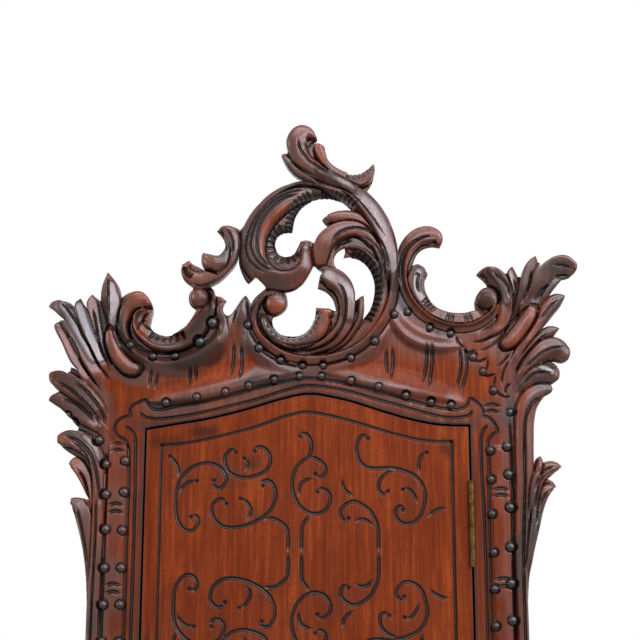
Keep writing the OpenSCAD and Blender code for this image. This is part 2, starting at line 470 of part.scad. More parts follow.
// Prism over a front-view outline between two distances from the wall
module slab(from, to) {
    translate([0, -from, 0])
        rotate([90, 0, 0])
            linear_extrude(to - from)
                children();
}

module ribbon(s) {
    if (len(s) > 1) {
        for (i = [0:len(s) - 2])
            polygon([edge(s, i, 1), edge(s, i + 1, 1), edge(s, i + 1, -1), edge(s, i, -1)]);
        for (p = [s[0], s[len(s) - 1]])
            translate([p[0], p[1]])
                circle(r = p[2], $fn = 16);
    }
}

// Carving as two steps over the board, each kept inside the board's outline
module relief(strokes) {
    for (step = [[0, low_relief], [low_relief, high_relief]])
        slab(carcass_d + frame_t + step[0] - 0.5, carcass_d + frame_t + step[1])
            intersection() {
                offset(delta = -0.4 - step[0] * 0.1)
                    children();
                offset(delta = 0.2)
                    for (s = strokes)
                        ribbon(cut_stroke(s, (step[0] + step[1]) / 2));
            }
}

module opening_shape() {
    polygon(concat(fit(curve(opening_top, 3)),
        [[half_open, right_corner_z], [half_open, sill_z], [-half_open, sill_z]]));
}

module crest_shape() {
    difference() {
        offset(delta = 0.01)
            difference() {
                polygon(concat(fit(outline(crest_runs)), [[wide(214), stile_top]]));
                for (gap = [gap_outer, gap_ring, gap_flute, gap_volute])
                    polygon(fit(outline(gap)));
                opening_shape();
            }
        translate([-2 * half_open, stile_top - 10])
            square([4 * half_open, 10]);
    }
}

module stile_shape(runs, side) {
    foot = raised(outline([for (run = foot_runs) side > 0 ? run : mirror_run(run)], 3), sill_z);
    difference() {
        polygon(concat([[side * half_open, stile_top]], fit(outline(runs, 3)), fit(foot),
            [[side * wide(213), sill_z], [side * half_open, sill_z]]));
        opening_shape();
    }
}

function apron_half() = [for (p = outline(apron_runs, 3)) [wide(p[0]), sill_z - apron_h + p[1] * apron_h / 106]];

module apron_shape() {
    polygon(concat(apron_half(), [[0, sill_z - apron_h]], backward(mirror_run(apron_half()))));
}

// Vertical dowels that cross a joint line
module dowels(z, r, l) {
    for (side = [-1, 1], x = dowel_x)
        translate([side * x, dowel_y, z])
            cylinder(r = r, h = l, center = true);
}

// Countersunk wood screw along +Z, its head's face at the origin
module screw(l, extra = 0) {
    translate([0, 0, -0.01 * sign(extra)])
        cylinder(r1 = screw_head_r + extra, r2 = screw_r + extra, h = screw_head_r - screw_r);
    cylinder(r = screw_r + extra, h = l + extra);
}

module crest_rail() {
    color(wood)
        difference() {
            union() {
                slab(carcass_d, carcass_d + frame_t)
                    crest_shape();
                relief([for (s = concat(crest_strokes, cushion_strokes)) set_stroke(s, 0)])
                    crest_shape();
            }
            dowels(stile_top, dowel_r + fixed_clear, dowel_l + 2);
        }
}

module left_stile() {
    color(wood)
        difference() {
            union() {
                slab(carcass_d, carcass_d + frame_t)
                    stile_shape(left_runs, -1);
                relief(concat([for (s = left_strokes) set_stroke(s, 0)],
                    [for (s = foot_strokes) set_stroke(flip_stroke(s), sill_z)]))
                    stile_shape(left_runs, -1);
            }
            dowels(stile_top, dowel_r + fixed_clear, dowel_l + 2);
            dowels(sill_z, dowel_r + fixed_clear, dowel_l + 2);
            strike_recess(fixed_clear);
            strike_screw_set(fixed_clear);
        }
}

module right_stile() {
    color(wood)
        difference() {
            union() {
                slab(carcass_d, carcass_d + frame_t)
                    stile_shape(right_runs, 1);
                relief(concat([for (s = right_strokes) set_stroke(s, 0)],
                    [for (s = foot_strokes) set_stroke(s, sill_z)]))
                    stile_shape(right_runs, 1);
            }
            dowels(stile_top, dowel_r + fixed_clear, dowel_l + 2);
            dowels(sill_z, dowel_r + fixed_clear, dowel_l + 2);
            for (z = [upper_hinge_z, lower_hinge_z]) {
                hinge_recess(z, 1);
                hinge_screw_set(z, 1, fixed_clear);
            }
        }
}

module apron_rail() {
    color(wood)
        difference() {
            union() {
                slab(carcass_d, carcass_d + frame_t)
                    apron_shape();
                relief(concat([for (s = concat(apron_strokes, [apron_cushion])) for (flip = [false, true])
                    let (t = [for (p = s) [p[0], p[1] * apron_h / 106, p[2], p[3]]])
                    set_stroke(flip ? flip_stroke(t) : t, sill_z - apron_h)]))
                    apron_shape();
            }
            dowels(sill_z, dowel_r + fixed_clear, dowel_l + 2);
        }
}

module frame_dowels() {
    color(wood_in)
        for (z = [stile_top, sill_z])
            dowels(z, dowel_r, dowel_l);
}

// Square blocks in the corner between each side and the frame
module glue_blocks() {
    color(wood_in)
        for (side = [-1, 1], z = [stile_top - 70, (stile_top + sill_z) / 2, sill_z + 70])
            translate([side * (side_out + block_w / 2), -carcass_d + block_w / 2, z])
                cube([block_w, block_w, block_l], center = true);
}

module side_panel(side) {
    color(wood_in)
        difference() {
            translate([side > 0 ? side_in : -side_out, -carcass_d, foot_z])
                cube([board_t, carcass_d, roof_z - foot_z]);
            translate([side > 0 ? side_in - 1 : -side_in - back_rebate, panel_front_y, foot_z - 1])
                cube([back_rebate + 1, 50, roof_z - foot_z + 2]);
            shelf_pin_set(fixed_clear);
            back_pin_set(fixed_clear);
        }
}

module side_panel_left() {
    side_panel(-1);
}

module side_panel_right() {
    side_panel(1);
}

module top_board() {
    color(wood_in)
        difference() {
            translate([-side_in, -carcass_d, roof_z - board_t])
                cube([2 * side_in, carcass_d + panel_front_y, board_t]);
            back_pin_set(fixed_clear);
        }
}

module bottom_board() {
    color(wood_in)
        difference() {
            translate([-side_in, -carcass_d, foot_z])
                cube([2 * side_in, carcass_d + panel_front_y, board_t]);
            back_pin_set(fixed_clear);
        }
}

module back_panel() {
    color(wood_in)
        difference() {
            translate([-side_in - back_rebate, panel_front_y, foot_z])
                cube([2 * (side_in + back_rebate), back_t, roof_z - foot_z]);
            back_pin_set(fixed_clear);
            hanger_screw_set(fixed_clear);
        }
}

// Small pins that hold the back panel to the top, the bottom and the sides
module back_pin_set(extra) {
    for (x = [-0.8, 0, 0.8] * side_in, z = [roof_z - board_t / 2, foot_z + board_t / 2])
        translate([x, panel_back_y + (extra > 0 ? 1 : 0), z])
            rotate([90, 0, 0])
                cylinder(r = nail_r + extra, h = back_t + 12 + (extra > 0 ? 1.2 : 0), $fn = 24);
    for (side = [-1, 1], z = [0.25, 0.5, 0.75])
        translate([side * (side_in + back_rebate / 2), panel_back_y + (extra > 0 ? 1 : 0),
            foot_z + z * (roof_z - foot_z)])
            rotate([90, 0, 0])
                cylinder(r = nail_r + extra, h = back_t + 12 + (extra > 0 ? 1.2 : 0), $fn = 24);
}

module back_panel_pins() {
    color(steel)
        back_pin_set(0);
}

module hanging_rail() {
    color(wood_in)
        difference() {
            translate([-side_in, panel_front_y - rail_t, roof_z - board_t - rail_h])
                cube([2 * side_in, rail_t, rail_h]);
            hanger_screw_set(fixed_clear);
        }
}

// Plate with a hole for the wall screw, standing over the carcass
module hanger_plate(side) {
    x = side * hanger_spacing / 2;
    color(steel)
        difference() {
            union() {
                translate([x - hanger_w / 2, panel_back_y, roof_z - hanger_drop])
                    cube([hanger_w, hanger_t, hanger_drop - roof_z]);
                translate([x, panel_back_y + hanger_t, 0])
                    rotate([90, 0, 0])
                        cylinder(r = hanger_w / 2, h = hanger_t);
            }
            translate([x, 1, 0])
                rotate([90, 0, 0])
                    cylinder(r = hanger_hole_r, h = hanger_t + 2);
            hanger_screw_set(fixed_clear);
        }
}

module hanger_plate_left() {
    hanger_plate(-1);
}

module hanger_plate_right() {
    hanger_plate(1);
}

module hanger_screw_set(extra) {
    for (side = [-1, 1], dx = [-7, 7], dz = [0, -16])
        translate([side * hanger_spacing / 2 + dx, panel_back_y + hanger_t, roof_z - board_t - 7 + dz])
            rotate([90, 0, 0])
                screw(hanger_t + back_t + 11, extra);
}

module hanger_plate_screws() {
    color(steel)
        hanger_screw_set(0);
}

module shelf(up) {
    color(wood_in)
        translate([-side_in + shelf_gap, -carcass_d + shelf_setback, floor_z + up])
            cube([2 * (side_in - shelf_gap), carcass_d - shelf_setback + panel_front_y - shelf_gap, shelf_t]);
}

module shelf_upper() {
    shelf(upper_shelf_z);
}

module shelf_lower() {
    shelf(lower_shelf_z);
}

// Pins that carry the shelves, each seated in a hole in the side
module shelf_pin_set(extra) {
    for (side = [-1, 1], up = [upper_shelf_z, lower_shelf_z], y = [-carcass_d + shelf_setback + 20, -30])
        translate([side * (side_in - shelf_pin_out), y, floor_z + up - shelf_pin_r])
            rotate([0, side * 90, 0])
                cylinder(r = shelf_pin_r + extra, h = shelf_pin_out + shelf_pin_in + extra);
}

module shelf_pins() {
    color(brass)
        shelf_pin_set(0);
}

// Strip on the floor that the foot of the door closes against
module door_stop() {
    color(wood_in)
        translate([-half_open + 30, -carcass_d, floor_z])
            cube([2 * half_open - 60, 12, 12]);
}

module strike_recess(extra) {
    translate([-half_open - strike_w - extra, -carcass_d - strike_t - extra, bolt_z - strike_h / 2 - extra])
        cube([strike_w + extra * 2, strike_t + extra * 2, strike_h + extra * 2]);
}

module strike_screw_set(extra) {
    for (z = [-0.35, 0.35] * strike_h)
        translate([-half_open - strike_w / 2, -carcass_d, bolt_z + z])
            rotate([90, 0, 0])
                screw(12, extra);
}

module strike_plate() {
    color(brass)
        difference() {
            strike_recess(0);
            strike_screw_set(fixed_clear);
        }
}

module strike_screws() {
    color(brass)
        strike_screw_set(0);
}

function knuckle_h() = hinge_l / knuckles;

// One leaf of a butt hinge; side 1 is on the frame, side -1 on the door
module hinge_leaf(z, side) {
    x = hinge_x + side * door_gap / 2;
    low = z - hinge_l / 2;
    color(brass)
        difference() {
            union() {
                translate([side > 0 ? x : x - leaf_t, hinge_y + knuckle_r + knuckle_clear, low])
                    cube([leaf_t, leaf_w, hinge_l]);
                for (i = [side > 0 ? 0 : 1:2:knuckles - 1])
                    translate([0, 0, low + i * knuckle_h() + knuckle_gap / 2]) {
                        translate([hinge_x, hinge_y, 0])
                            cylinder(r = knuckle_r, h = knuckle_h() - knuckle_gap);
                        translate([side > 0 ? x : x - leaf_t, hinge_y, 0])
                            cube([leaf_t, knuckle_r + 1, knuckle_h() - knuckle_gap]);
                    }
            }
            translate([hinge_x, hinge_y, low - 1])
                cylinder(r = pin_r + pin_clear, h = hinge_l + 2);
            hinge_screw_set(z, side, fixed_clear);
        }
}

// Room for a leaf and its knuckles in the stile or in the door
module hinge_recess(z, side) {
    x = hinge_x + side * door_gap / 2;
    low = z - hinge_l / 2 - fixed_clear;
    translate([side > 0 ? x - 1 : x - leaf_t - fixed_clear, hinge_y, low])
        cube([leaf_t + 1 + fixed_clear, knuckle_r + knuckle_clear + leaf_w + fixed_clear,
            hinge_l + 2 * fixed_clear]);
    translate([hinge_x, hinge_y, z])
        cylinder(r = knuckle_r + knuckle_clear, h = hinge_l + 2 * pin_head_h + 0.6, center = true);
}

module hinge_screw_set(z, side, extra) {
    for (dz = [-0.36, 0, 0.36] * hinge_l)
        translate([hinge_x + side * door_gap / 2, front_y + frame_t * 0.62, z + dz])
            rotate([0, side * 90, 0])
                screw(14, extra);
}

module hinge_frame_leaf_upper() {
    hinge_leaf(upper_hinge_z, 1);
}

module hinge_frame_leaf_lower() {
    hinge_leaf(lower_hinge_z, 1);
}

module hinge_door_leaf_upper() {
    hinge_leaf(upper_hinge_z, -1);
}

module hinge_door_leaf_lower() {
    hinge_leaf(lower_hinge_z, -1);
}

module hinge_frame_screws() {
    color(brass)
        for (z = [upper_hinge_z, lower_hinge_z])
            hinge_screw_set(z, 1, 0);
}

module hinge_door_screws() {
    color(brass)
        for (z = [upper_hinge_z, lower_hinge_z])
            hinge_screw_set(z, -1, 0);
}

// Loose pin with a small round head on each end of the knuckles
module hinge_pin(z) {
    color(brass) {
        translate([hinge_x, hinge_y, z - hinge_l / 2])
            cylinder(r = pin_r, h = hinge_l);
        for (end = [-1, 1])
            translate([hinge_x, hinge_y, z + end * (hinge_l + pin_head_h) / 2])
                cylinder(r = knuckle_r - 0.4, h = pin_head_h, center = true);
    }
}

module hinge_pin_upper() {
    hinge_pin(upper_hinge_z);
}

module hinge_pin_lower() {
    hinge_pin(lower_hinge_z);
}

// Keyhole along Y: a round hole with a slot below it for the bit
module keyhole(from, to, extra) {
    translate([key_x, to, key_z])
        rotate([90, 0, 0])
            cylinder(r = key_r + extra, h = to - from);
    translate([key_x - 1 - extra, from, key_z - key_bit_r - extra])
        cube([2 + 2 * extra, to - from, key_bit_r + extra]);
}

module door_panel() {
    color(wood)
        difference() {
            slab(-door_back_y, carcass_d + frame_t)
                offset(delta = -door_gap)
                    opening_shape();
            slab(carcass_d + frame_t - 1.2, carcass_d + frame_t + 1)
                difference() {
                    offset(delta = -door_gap - border_in)
                        opening_shape();
                    offset(delta = -door_gap - border_in - border_w)
                        opening_shape();
                }
            for (z = [upper_hinge_z, lower_hinge_z]) {
                hinge_recess(z, -1);
                hinge_screw_set(z, -1, fixed_clear);
            }
            keyhole(front_y - 1, door_back_y + 1, 0.6);
            batten_screw_set(fixed_clear);
            escutcheon_pin_set(fixed_clear);
            lock_screw_set(fixed_clear);
        }
}

// Cleat across the back of the door that keeps its boards flat
module door_batten(z) {
    color(wood_in)
        difference() {
            translate([-half_open + 60, door_back_y, z - batten_h / 2])
                cube([2 * half_open - 80, batten_t, batten_h]);
            batten_screw_set(fixed_clear);
        }
}

module door_batten_upper() {
    door_batten(upper_hinge_z - 5);
}

module door_batten_lower() {
    door_batten(lower_hinge_z + 5);
}

module batten_screw_set(extra) {
    for (x = [-0.5, -0.05, 0.4, 0.78] * half_open, z = [upper_hinge_z - 5, lower_hinge_z + 5])
        translate([x, door_back_y + batten_t, z])
            rotate([90, 0, 0])
                screw(batten_t + 12, extra);
}

module door_batten_screws() {
    color(steel)
        batten_screw_set(0);
}

// Brass plate round the keyhole, an oval with a point at each end
module escutcheon() {
    color(brass)
        difference() {
            slab(carcass_d + frame_t, carcass_d + frame_t + 1.6)
                offset(delta = 0.01) {
                    translate([key_x, key_z - 3])
                        scale([0.72, 1])
                            circle(r = 15);
                    for (end = [-1, 1])
                        translate([key_x, key_z - 3 + end * 14])
                            rotate(45)
                                square(9, center = true);
                }
            keyhole(front_y - 3, front_y + 1, 0.6);
            escutcheon_pin_set(fixed_clear);
        }
}

module escutcheon_pin_set(extra) {
    for (end = [-1, 1])
        translate([key_x, front_y - 1.6, key_z - 3 + end * 15])
            rotate([-90, 0, 0]) {
                cylinder(r = 0.8 + extra, h = 8 + extra, $fn = 24);
                translate([0, 0, -0.8])
                    cylinder(r = 1.5 + extra, h = 0.8, $fn = 24);
            }
}

module escutcheon_pins() {
    color(brass)
        escutcheon_pin_set(0);
}

// Lock on the back of the door: an open box, closed by its cover
module lock_case() {
    color(steel)
        difference() {
            translate([lock_left_x, lock_front_y, lock_low_z])
                cube([lock_w, lock_d - lock_wall, lock_h]);
            translate([lock_left_x + lock_wall, lock_front_y + lock_wall, lock_low_z + lock_wall])
                cube([lock_w - 2 * lock_wall, lock_d, lock_h - 2 * lock_wall]);
            keyhole(lock_front_y - 1, lock_front_y + lock_wall + 1, 0.6);
            bolt_shape(0.3, 20);
            lock_screw_set(fixed_clear);
        }
}

module lock_cover() {
    color(brass)
        difference() {
            translate([lock_left_x, lock_back_y - lock_wall, lock_low_z])
                cube([lock_w, lock_wall, lock_h]);
            translate([key_x, lock_back_y + 1, key_z])
                rotate([90, 0, 0])
                    cylinder(r = key_r + 0.3, h = lock_wall + 2);
            lock_screw_set(fixed_clear);
        }
}

// Screws through the corners of the cover and the case into the door
module lock_screw_set(extra) {
    for (x = [lock_wall + 3, lock_w - lock_wall - 3], z = [lock_wall + 3, lock_h - lock_wall - 3])
        translate([lock_left_x + x, lock_back_y, lock_low_z + z])
            rotate([90, 0, 0])
                screw(lock_d + 9, extra);
}

module lock_screws() {
    color(steel)
        lock_screw_set(0);
}

// Bolt, drawn back: its front end is flush with the lock case
module bolt_shape(extra, ahead) {
    translate([lock_left_x - ahead, lock_front_y + bolt_in - extra, bolt_z - bolt_h / 2 - extra])
        cube([ahead + lock_wall + 4, bolt_t + 2 * extra, bolt_h + 2 * extra]);
}

module lock_bolt() {
    color(brass)
        difference() {
            translate([lock_left_x, lock_front_y + bolt_in, bolt_z - bolt_h / 2])
                cube([lock_w - 2 * lock_wall - 4, bolt_t, bolt_h]);
            translate([key_x - 3, lock_front_y, bolt_z - bolt_h / 2 - 1])
                cube([6, lock_d, 3]);
            translate([lock_left_x + lock_w * 0.78, lock_front_y, bolt_z - bolt_h / 2 - 1])
                cube([lock_w, lock_d, bolt_h * 0.4]);
        }
}

// Key in the lock with its bit down: ring bow, collar, shank and bit
module key() {
    color(steel) {
        translate([key_x, lock_back_y - lock_wall + 1.2, key_z])
            rotate([90, 0, 0])
                cylinder(r = key_r, h = lock_back_y - lock_wall + 1.2 - front_y + 12);
        translate([key_x, front_y - 5, key_z])
            rotate([90, 0, 0])
                cylinder(r = key_r + 1.6, h = 2.4);
        translate([key_x, front_y - 12 - 11, key_z])
            rotate([0, 90, 0])
                rotate_extrude()
                    translate([10, 0])
                        circle(r = 2, $fn = 24);
        translate([key_x - 0.9, lock_front_y + lock_wall + 0.6, key_z - key_bit_r])
            cube([1.8, lock_d - 2 * lock_wall - 1.4, key_bit_r]);
    }
}

crest_rail();
left_stile();
right_stile();
apron_rail();
frame_dowels();
glue_blocks();
side_panel_left();
side_panel_right();
top_board();
bottom_board();
back_panel();
back_panel_pins();
hanging_rail();
hanger_plate_left();
hanger_plate_right();
hanger_plate_screws();
shelf_upper();
shelf_lower();
shelf_pins();
door_stop();
strike_plate();
strike_screws();
hinge_frame_leaf_upper();
hinge_frame_leaf_lower();
hinge_frame_screws();
hinge_pin_upper();
hinge_pin_lower();
hinge_door_leaf_upper();
hinge_door_leaf_lower();
hinge_door_screws();
door_panel();
door_batten_upper();
door_batten_lower();
door_batten_screws();
escutcheon();
escutcheon_pins();
lock_case();
lock_cover();
lock_screws();
lock_bolt();
key();
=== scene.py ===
import math
import bpy
import bmesh
import numpy as np
from mathutils import Matrix, Vector


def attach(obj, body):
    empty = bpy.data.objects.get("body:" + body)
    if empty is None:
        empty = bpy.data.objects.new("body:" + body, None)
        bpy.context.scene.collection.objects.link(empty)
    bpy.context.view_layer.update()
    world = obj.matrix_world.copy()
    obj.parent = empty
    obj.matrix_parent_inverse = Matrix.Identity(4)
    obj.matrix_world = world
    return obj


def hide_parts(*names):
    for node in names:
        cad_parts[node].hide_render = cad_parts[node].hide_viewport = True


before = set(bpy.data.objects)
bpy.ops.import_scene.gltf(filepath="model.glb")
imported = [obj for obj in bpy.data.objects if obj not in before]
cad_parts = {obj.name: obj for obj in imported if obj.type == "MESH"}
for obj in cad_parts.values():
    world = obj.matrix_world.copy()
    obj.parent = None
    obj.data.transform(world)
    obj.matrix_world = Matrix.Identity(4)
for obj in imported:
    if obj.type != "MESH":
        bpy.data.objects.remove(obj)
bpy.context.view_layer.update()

# The camera stands where the photographer stood: low, close, and looking up by 10.8 degrees
view = {"eye": (0.0116, -1.1913, -0.1494), "tilt": 10.8, "lens": 61.875, "sensor": 36, "nearest": 0.01}
cameraData = bpy.data.cameras.new("camera")
cameraData.lens = view["lens"]
cameraData.sensor_width = view["sensor"]
cameraData.clip_start = view["nearest"]
camera = bpy.data.objects.new("camera", cameraData)
camera.location = view["eye"]
camera.rotation_euler = (math.radians(90 + view["tilt"]), 0, 0)
bpy.context.scene.collection.objects.link(camera)
bpy.context.scene.camera = camera
bpy.context.scene.view_settings.view_transform = "Standard"
print("camera placed")

# Outlines of the carved boards in millimetres, seen from the front, in smooth runs with a sharp point between each
# two. A run starts at the point that ended the one before it.
crestRuns = [
    [(-217, -58), (-217.5, -54), (-221, -50), (-227, -43), (-234, -36.5), (-241, -32.5), (-245, -30)],
    [(-244, -26), (-241, -23), (-236, -20.5)],
    [(-241, -16.5), (-245, -10), (-246, -4), (-245, -2)],
    [(-239, -0.5), (-233, -1), (-228, -3.5)],
    [(-227.5, 0), (-226.5, 3.5)],
    [(-223, 2), (-219, 0)],
    [(-224, 5), (-229, 13), (-234, 24), (-239, 33), (-243.5, 40)],
    [(-242.5, 44), (-238, 47), (-232.5, 47.5)],
    [(-238, 52), (-244, 57.5), (-249, 61)],
    [(-247, 65.5), (-242, 68), (-236, 68), (-230, 66), (-224.5, 61)],
    [(-223, 65.5), (-219, 69.5)],
    [(-216, 64), (-212, 60)],
    [(-212.5, 66), (-208, 73.5)],
    [(-204, 70.5), (-200.3, 67.8)],
    [(-200.5, 77), (-198.5, 86), (-194.5, 96.5)],
    [(-188, 89), (-183, 81), (-180.3, 71.5)],
    [(-174, 76), (-167, 77.5), (-159, 75.5), (-152.5, 68.5), (-149.3, 59), (-150.5, 50), (-151.5, 43), (-149, 38.5),
        (-142, 35), (-134, 34.2), (-127, 36.5), (-119, 42.5), (-113, 50), (-108, 59)],
    [(-113.5, 63.5), (-115.5, 70), (-114.5, 76), (-110.5, 80.5)],
    [(-116, 84), (-121, 89.5), (-123.3, 97), (-122, 104), (-116, 108.5)],
    [(-112, 104.5), (-106, 101.5), (-100.5, 98)],
    [(-103.5, 104), (-104, 111), (-102.5, 116.5)],
    [(-96, 114.8), (-89, 113.5), (-84, 115.5), (-81, 121), (-82, 128), (-85.5, 133.5), (-89.5, 138)],
    [(-84, 142), (-76, 143), (-71, 141.5), (-67, 139)],
    [(-63, 144), (-57, 155), (-48, 166.5), (-38, 176), (-26, 183.5), (-13, 187.8), (-4, 188.7)],
    [(-12, 192.5), (-19, 199.5), (-23.5, 207), (-27, 215)],
    [(-24, 217.5), (-19.5, 217.5)],
    [(-21.7, 225), (-21.5, 233), (-17, 240.5), (-11, 245.5), (-4, 247), (2, 244), (6.5, 238.5), (9, 231.5)],
    [(5, 228.5), (10, 228.5), (15, 226), (16.8, 221), (18.5, 212), (24, 205), (33, 199.5), (43, 196.5), (52, 198.5),
        (60, 203.5), (65, 207)],
    [(65.7, 199), (63, 187), (57.8, 178.5)],
    [(65, 171.5), (73, 161), (80, 148), (85, 133), (87.5, 117)],
    [(90, 125), (97, 134.5), (106, 141), (115, 143.2), (124, 141), (130, 135.5), (131.3, 128), (128.5, 121)],
    [(121, 122), (113, 120), (106, 114), (101, 101.5)],
    [(106, 103), (112, 100.5), (116.3, 95), (113.5, 88), (112.5, 80), (115, 72.5), (121, 63.5), (130, 58),
        (140, 55.8), (151, 55.8), (161.5, 59)],
    [(161, 66), (163, 73), (168, 79), (175, 81.8)],
    [(170, 88), (163.5, 94)],
    [(168, 99), (176, 101.7), (184, 100.5), (192.7, 94.5)],
    [(194.5, 98.5), (198, 101.3)],
    [(202, 96), (205.5, 88.5)],
    [(208.5, 98), (213, 106), (220.5, 111.7)],
    [(223.3, 106), (224, 100.5)],
    [(230, 105.5), (238, 110.3), (247, 112), (255, 110.3), (260, 104), (259, 96.5), (253, 90.8), (246, 89)],
    [(241, 83), (236, 77), (232.5, 72)],
    [(238, 74.5), (243, 74.3), (247.5, 72)],
    [(244, 63), (237, 54), (230, 46), (224.5, 40)],
    [(230, 42.3), (236, 42.2), (241, 40)],
    [(238.5, 36.5), (236.5, 33)],
    [(243, 30.5), (248.5, 25), (250.3, 17), (248, 10), (243, 7), (237, 8.3), (232, 9.3)],
    [(237.5, 5.5), (240.8, -1), (239, -8), (230.5, -14.8)],
    [(232, -18.5), (229.5, -22.5), (223, -26.5), (218, -35), (215, -47), (214, -58)]]
gapOuter = [
    [(-67, 117), (-67.5, 106), (-65, 97), (-61.5, 89.5), (-58, 85)],
    [(-54, 88.5), (-51, 91.5)],
    [(-46, 86.5), (-40.5, 81)],
    [(-47, 75.5), (-52, 70.5), (-55.2, 65)],
    [(-57, 69), (-60.3, 73.8)],
    [(-65, 69), (-70, 60.5), (-74, 54.3), (-78, 53.3), (-81.5, 56.5), (-81.8, 62), (-79, 68)],
    [(-84, 72), (-89.5, 73)],
    [(-91, 78.5), (-95, 81.5)],
    [(-86, 86.5), (-78, 94), (-71.5, 102), (-68.5, 108.5), (-67, 117)]]
gapRing = [
    [(-7.5, 127.5), (-2, 128.7), (3, 127.3), (6.5, 125)],
    [(8.5, 131), (13, 137), (20, 142)],
    [(16.5, 145), (13.5, 149.5)],
    [(20, 155), (28, 158.3), (36, 159.2), (43, 159.5)],
    [(36.5, 166.5), (26, 171), (15, 172.3), (4, 170), (-6.5, 162.5), (-13, 152), (-15.5, 138)],
    [(-24, 137), (-30, 132.5), (-32.5, 125), (-30.5, 118), (-25, 113.5), (-17, 114), (-11.5, 119), (-7.5, 127.5)]]
gapFlute = [
    [(28, 99.8), (25.5, 105), (25.8, 112), (29.5, 117.5), (35.5, 121)],
    [(36, 116.5), (34.5, 111)],
    [(43.5, 112), (53, 107.5), (60.5, 98.5), (64.5, 86), (64, 73), (60, 60), (53, 50)],
    [(54.5, 60), (54, 73.8)],
    [(50, 71.8), (45.3, 67.5)],
    [(45, 77), (41, 88), (35, 95.5), (28, 99.8)]]
gapVolute = [
    [(-33.5, 52), (-26, 55), (-20.5, 61), (-19.7, 68.5), (-22, 76)],
    [(-13, 79), (-5, 85), (1, 94), (5.5, 103)],
    [(9.5, 99.5), (14.5, 95.5)],
    [(11, 89.5), (9.3, 80.5)],
    [(17.5, 76.8), (24, 69.5), (27.3, 58)],
    [(18, 60.8), (8, 61.5)],
    [(5.8, 50), (0, 40), (-8, 34.7), (-17, 33.8), (-26, 36), (-32.5, 42), (-34.5, 48), (-33.5, 52)]]
leftRuns = [
    [(-217, -58), (-224, -57), (-231, -59), (-237, -63.5)],
    [(-235, -69), (-229, -75), (-218.5, -82)],
    [(-223, -84.5), (-225, -88.5)],
    [(-218, -96), (-211.5, -106), (-203.5, -122)],
    [(-210, -120.3), (-216, -119.7), (-222, -120.5)],
    [(-219, -131), (-214.5, -146), (-209, -166), (-205, -190), (-203, -215)]]
rightRuns = [
    [(214, -58), (213, -72), (213, -88.5)],
    [(215, -84), (219, -81)],
    [(221, -83.5), (222, -86.7)],
    [(229, -85.5), (235, -87.3), (239, -91)],
    [(232, -97), (225.5, -102.5)],
    [(230, -105), (233, -109.5)],
    [(225, -118), (219.5, -131), (215, -148), (209, -170), (205, -192), (203, -215)]]
footRuns = [
    [(203, 160), (205, 130), (209, 105), (215, 80), (222, 60)],
    [(214, 61), (206, 63)],
    [(211, 44), (217, 28), (225, 14)],
    [(219, 15), (213, 18)],
    [(211, 9), (213, 0)]]
apronRuns = [
    [(213, 106), (222, 99), (231, 88), (237, 74), (239, 60)],
    [(231, 62), (222, 68)],
    [(224, 57), (222, 45), (216, 34)],
    [(208, 40), (201, 48), (195, 57)],
    [(186, 47), (174, 41), (160, 42), (149, 50), (143, 61)],
    [(130, 55), (115, 52), (100, 54), (88, 60)],
    [(86, 47), (79, 35), (67, 27)],
    [(62, 35), (54, 40), (44, 41)],
    [(40, 28), (30, 16), (18, 8), (0, 0)]]
openingTop = [(-154, -55), (-125, -50), (-95, -45), (-60, -36.5), (-30, -27.5), (-10, -22.5), (1, -21.3), (12, -22),
    (40, -28), (70, -37.5), (100, -46), (125, -50.5), (154, -51.5)]

# The relief is one map of heights over the whole front, in millimetres in front of the door's plane
relief = {"step": 0.6, "left": -254.0, "right": 265.0, "low": -657.0, "high": 252.0,
          "front": -150.0, "ground": -3.5, "moat": 1.3, "ditch": 2.0, "outlineStep": 1.6, "openingStep": 4,
          "lineStep": 1.2}
# Where the boards meet, how wide the opening is, and the gaps round the door
joint = {"crest": -58.0, "sill": -546.0, "apron": 106.0, "half": 154.0, "doorGap": 2.0, "doorTopGap": 2.1}
columns = np.arange(relief["left"], relief["right"], relief["step"])
rows = np.arange(relief["low"], relief["high"], relief["step"])
height = np.zeros((len(rows), len(columns)))
# Darkness painted into the cuts, round the beads, down the fluted slopes and along the door's gap, as dirt and painted
# shade
sootAndShade = np.zeros_like(height)
clouds = np.zeros_like(height)

# Cross sections of the carving from its right edge to its left, seen along the line it is drawn in
sections = {
    "round": [(-1, 0.6), (-0.95, 0.71), (-0.8, 0.83), (-0.5, 0.94), (0, 1), (0.5, 0.94), (0.8, 0.83), (0.95, 0.71),
        (1, 0.6)],
    "flat": [(-1, 0.55), (-0.93, 0.8), (-0.75, 0.95), (0, 1), (0.75, 0.95), (0.93, 0.8), (1, 0.55)],
    "rimLeft": [(-1, 0.5), (-0.85, 0.52), (-0.5, 0.55), (-0.1, 0.63), (0.25, 0.82), (0.5, 0.97), (0.7, 1),
        (0.88, 0.86), (1, 0.55)],
    "slide": [(-1, 0.74), (-0.94, 0.88), (-0.8, 0.97), (-0.6, 1), (-0.3, 0.96), (0.3, 0.84), (0.92, 0.71),
        (1, 0.65)],
    "fall": [(-1, 0.42), (-0.8, 0.54), (-0.4, 0.72), (0, 0.87), (0.4, 0.98), (0.65, 1), (0.85, 0.9), (1, 0.58)],
    "brim": [(-1, 0.72), (-0.93, 0.86), (-0.8, 0.91), (0.6, 0.99), (0.8, 1), (0.93, 0.93), (1, 0.7)],
    "roof": [(-1, 0.52), (-0.94, 0.63), (0.25, 0.96), (0.4, 1), (0.55, 0.97), (0.8, 0.84), (1, 0.5)],
    "ridge": [(-1, 0.5), (-0.6, 0.76), (-0.3, 0.95), (-0.15, 1), (0, 0.96), (0.4, 0.82), (0.85, 0.66), (1, 0.5)]}


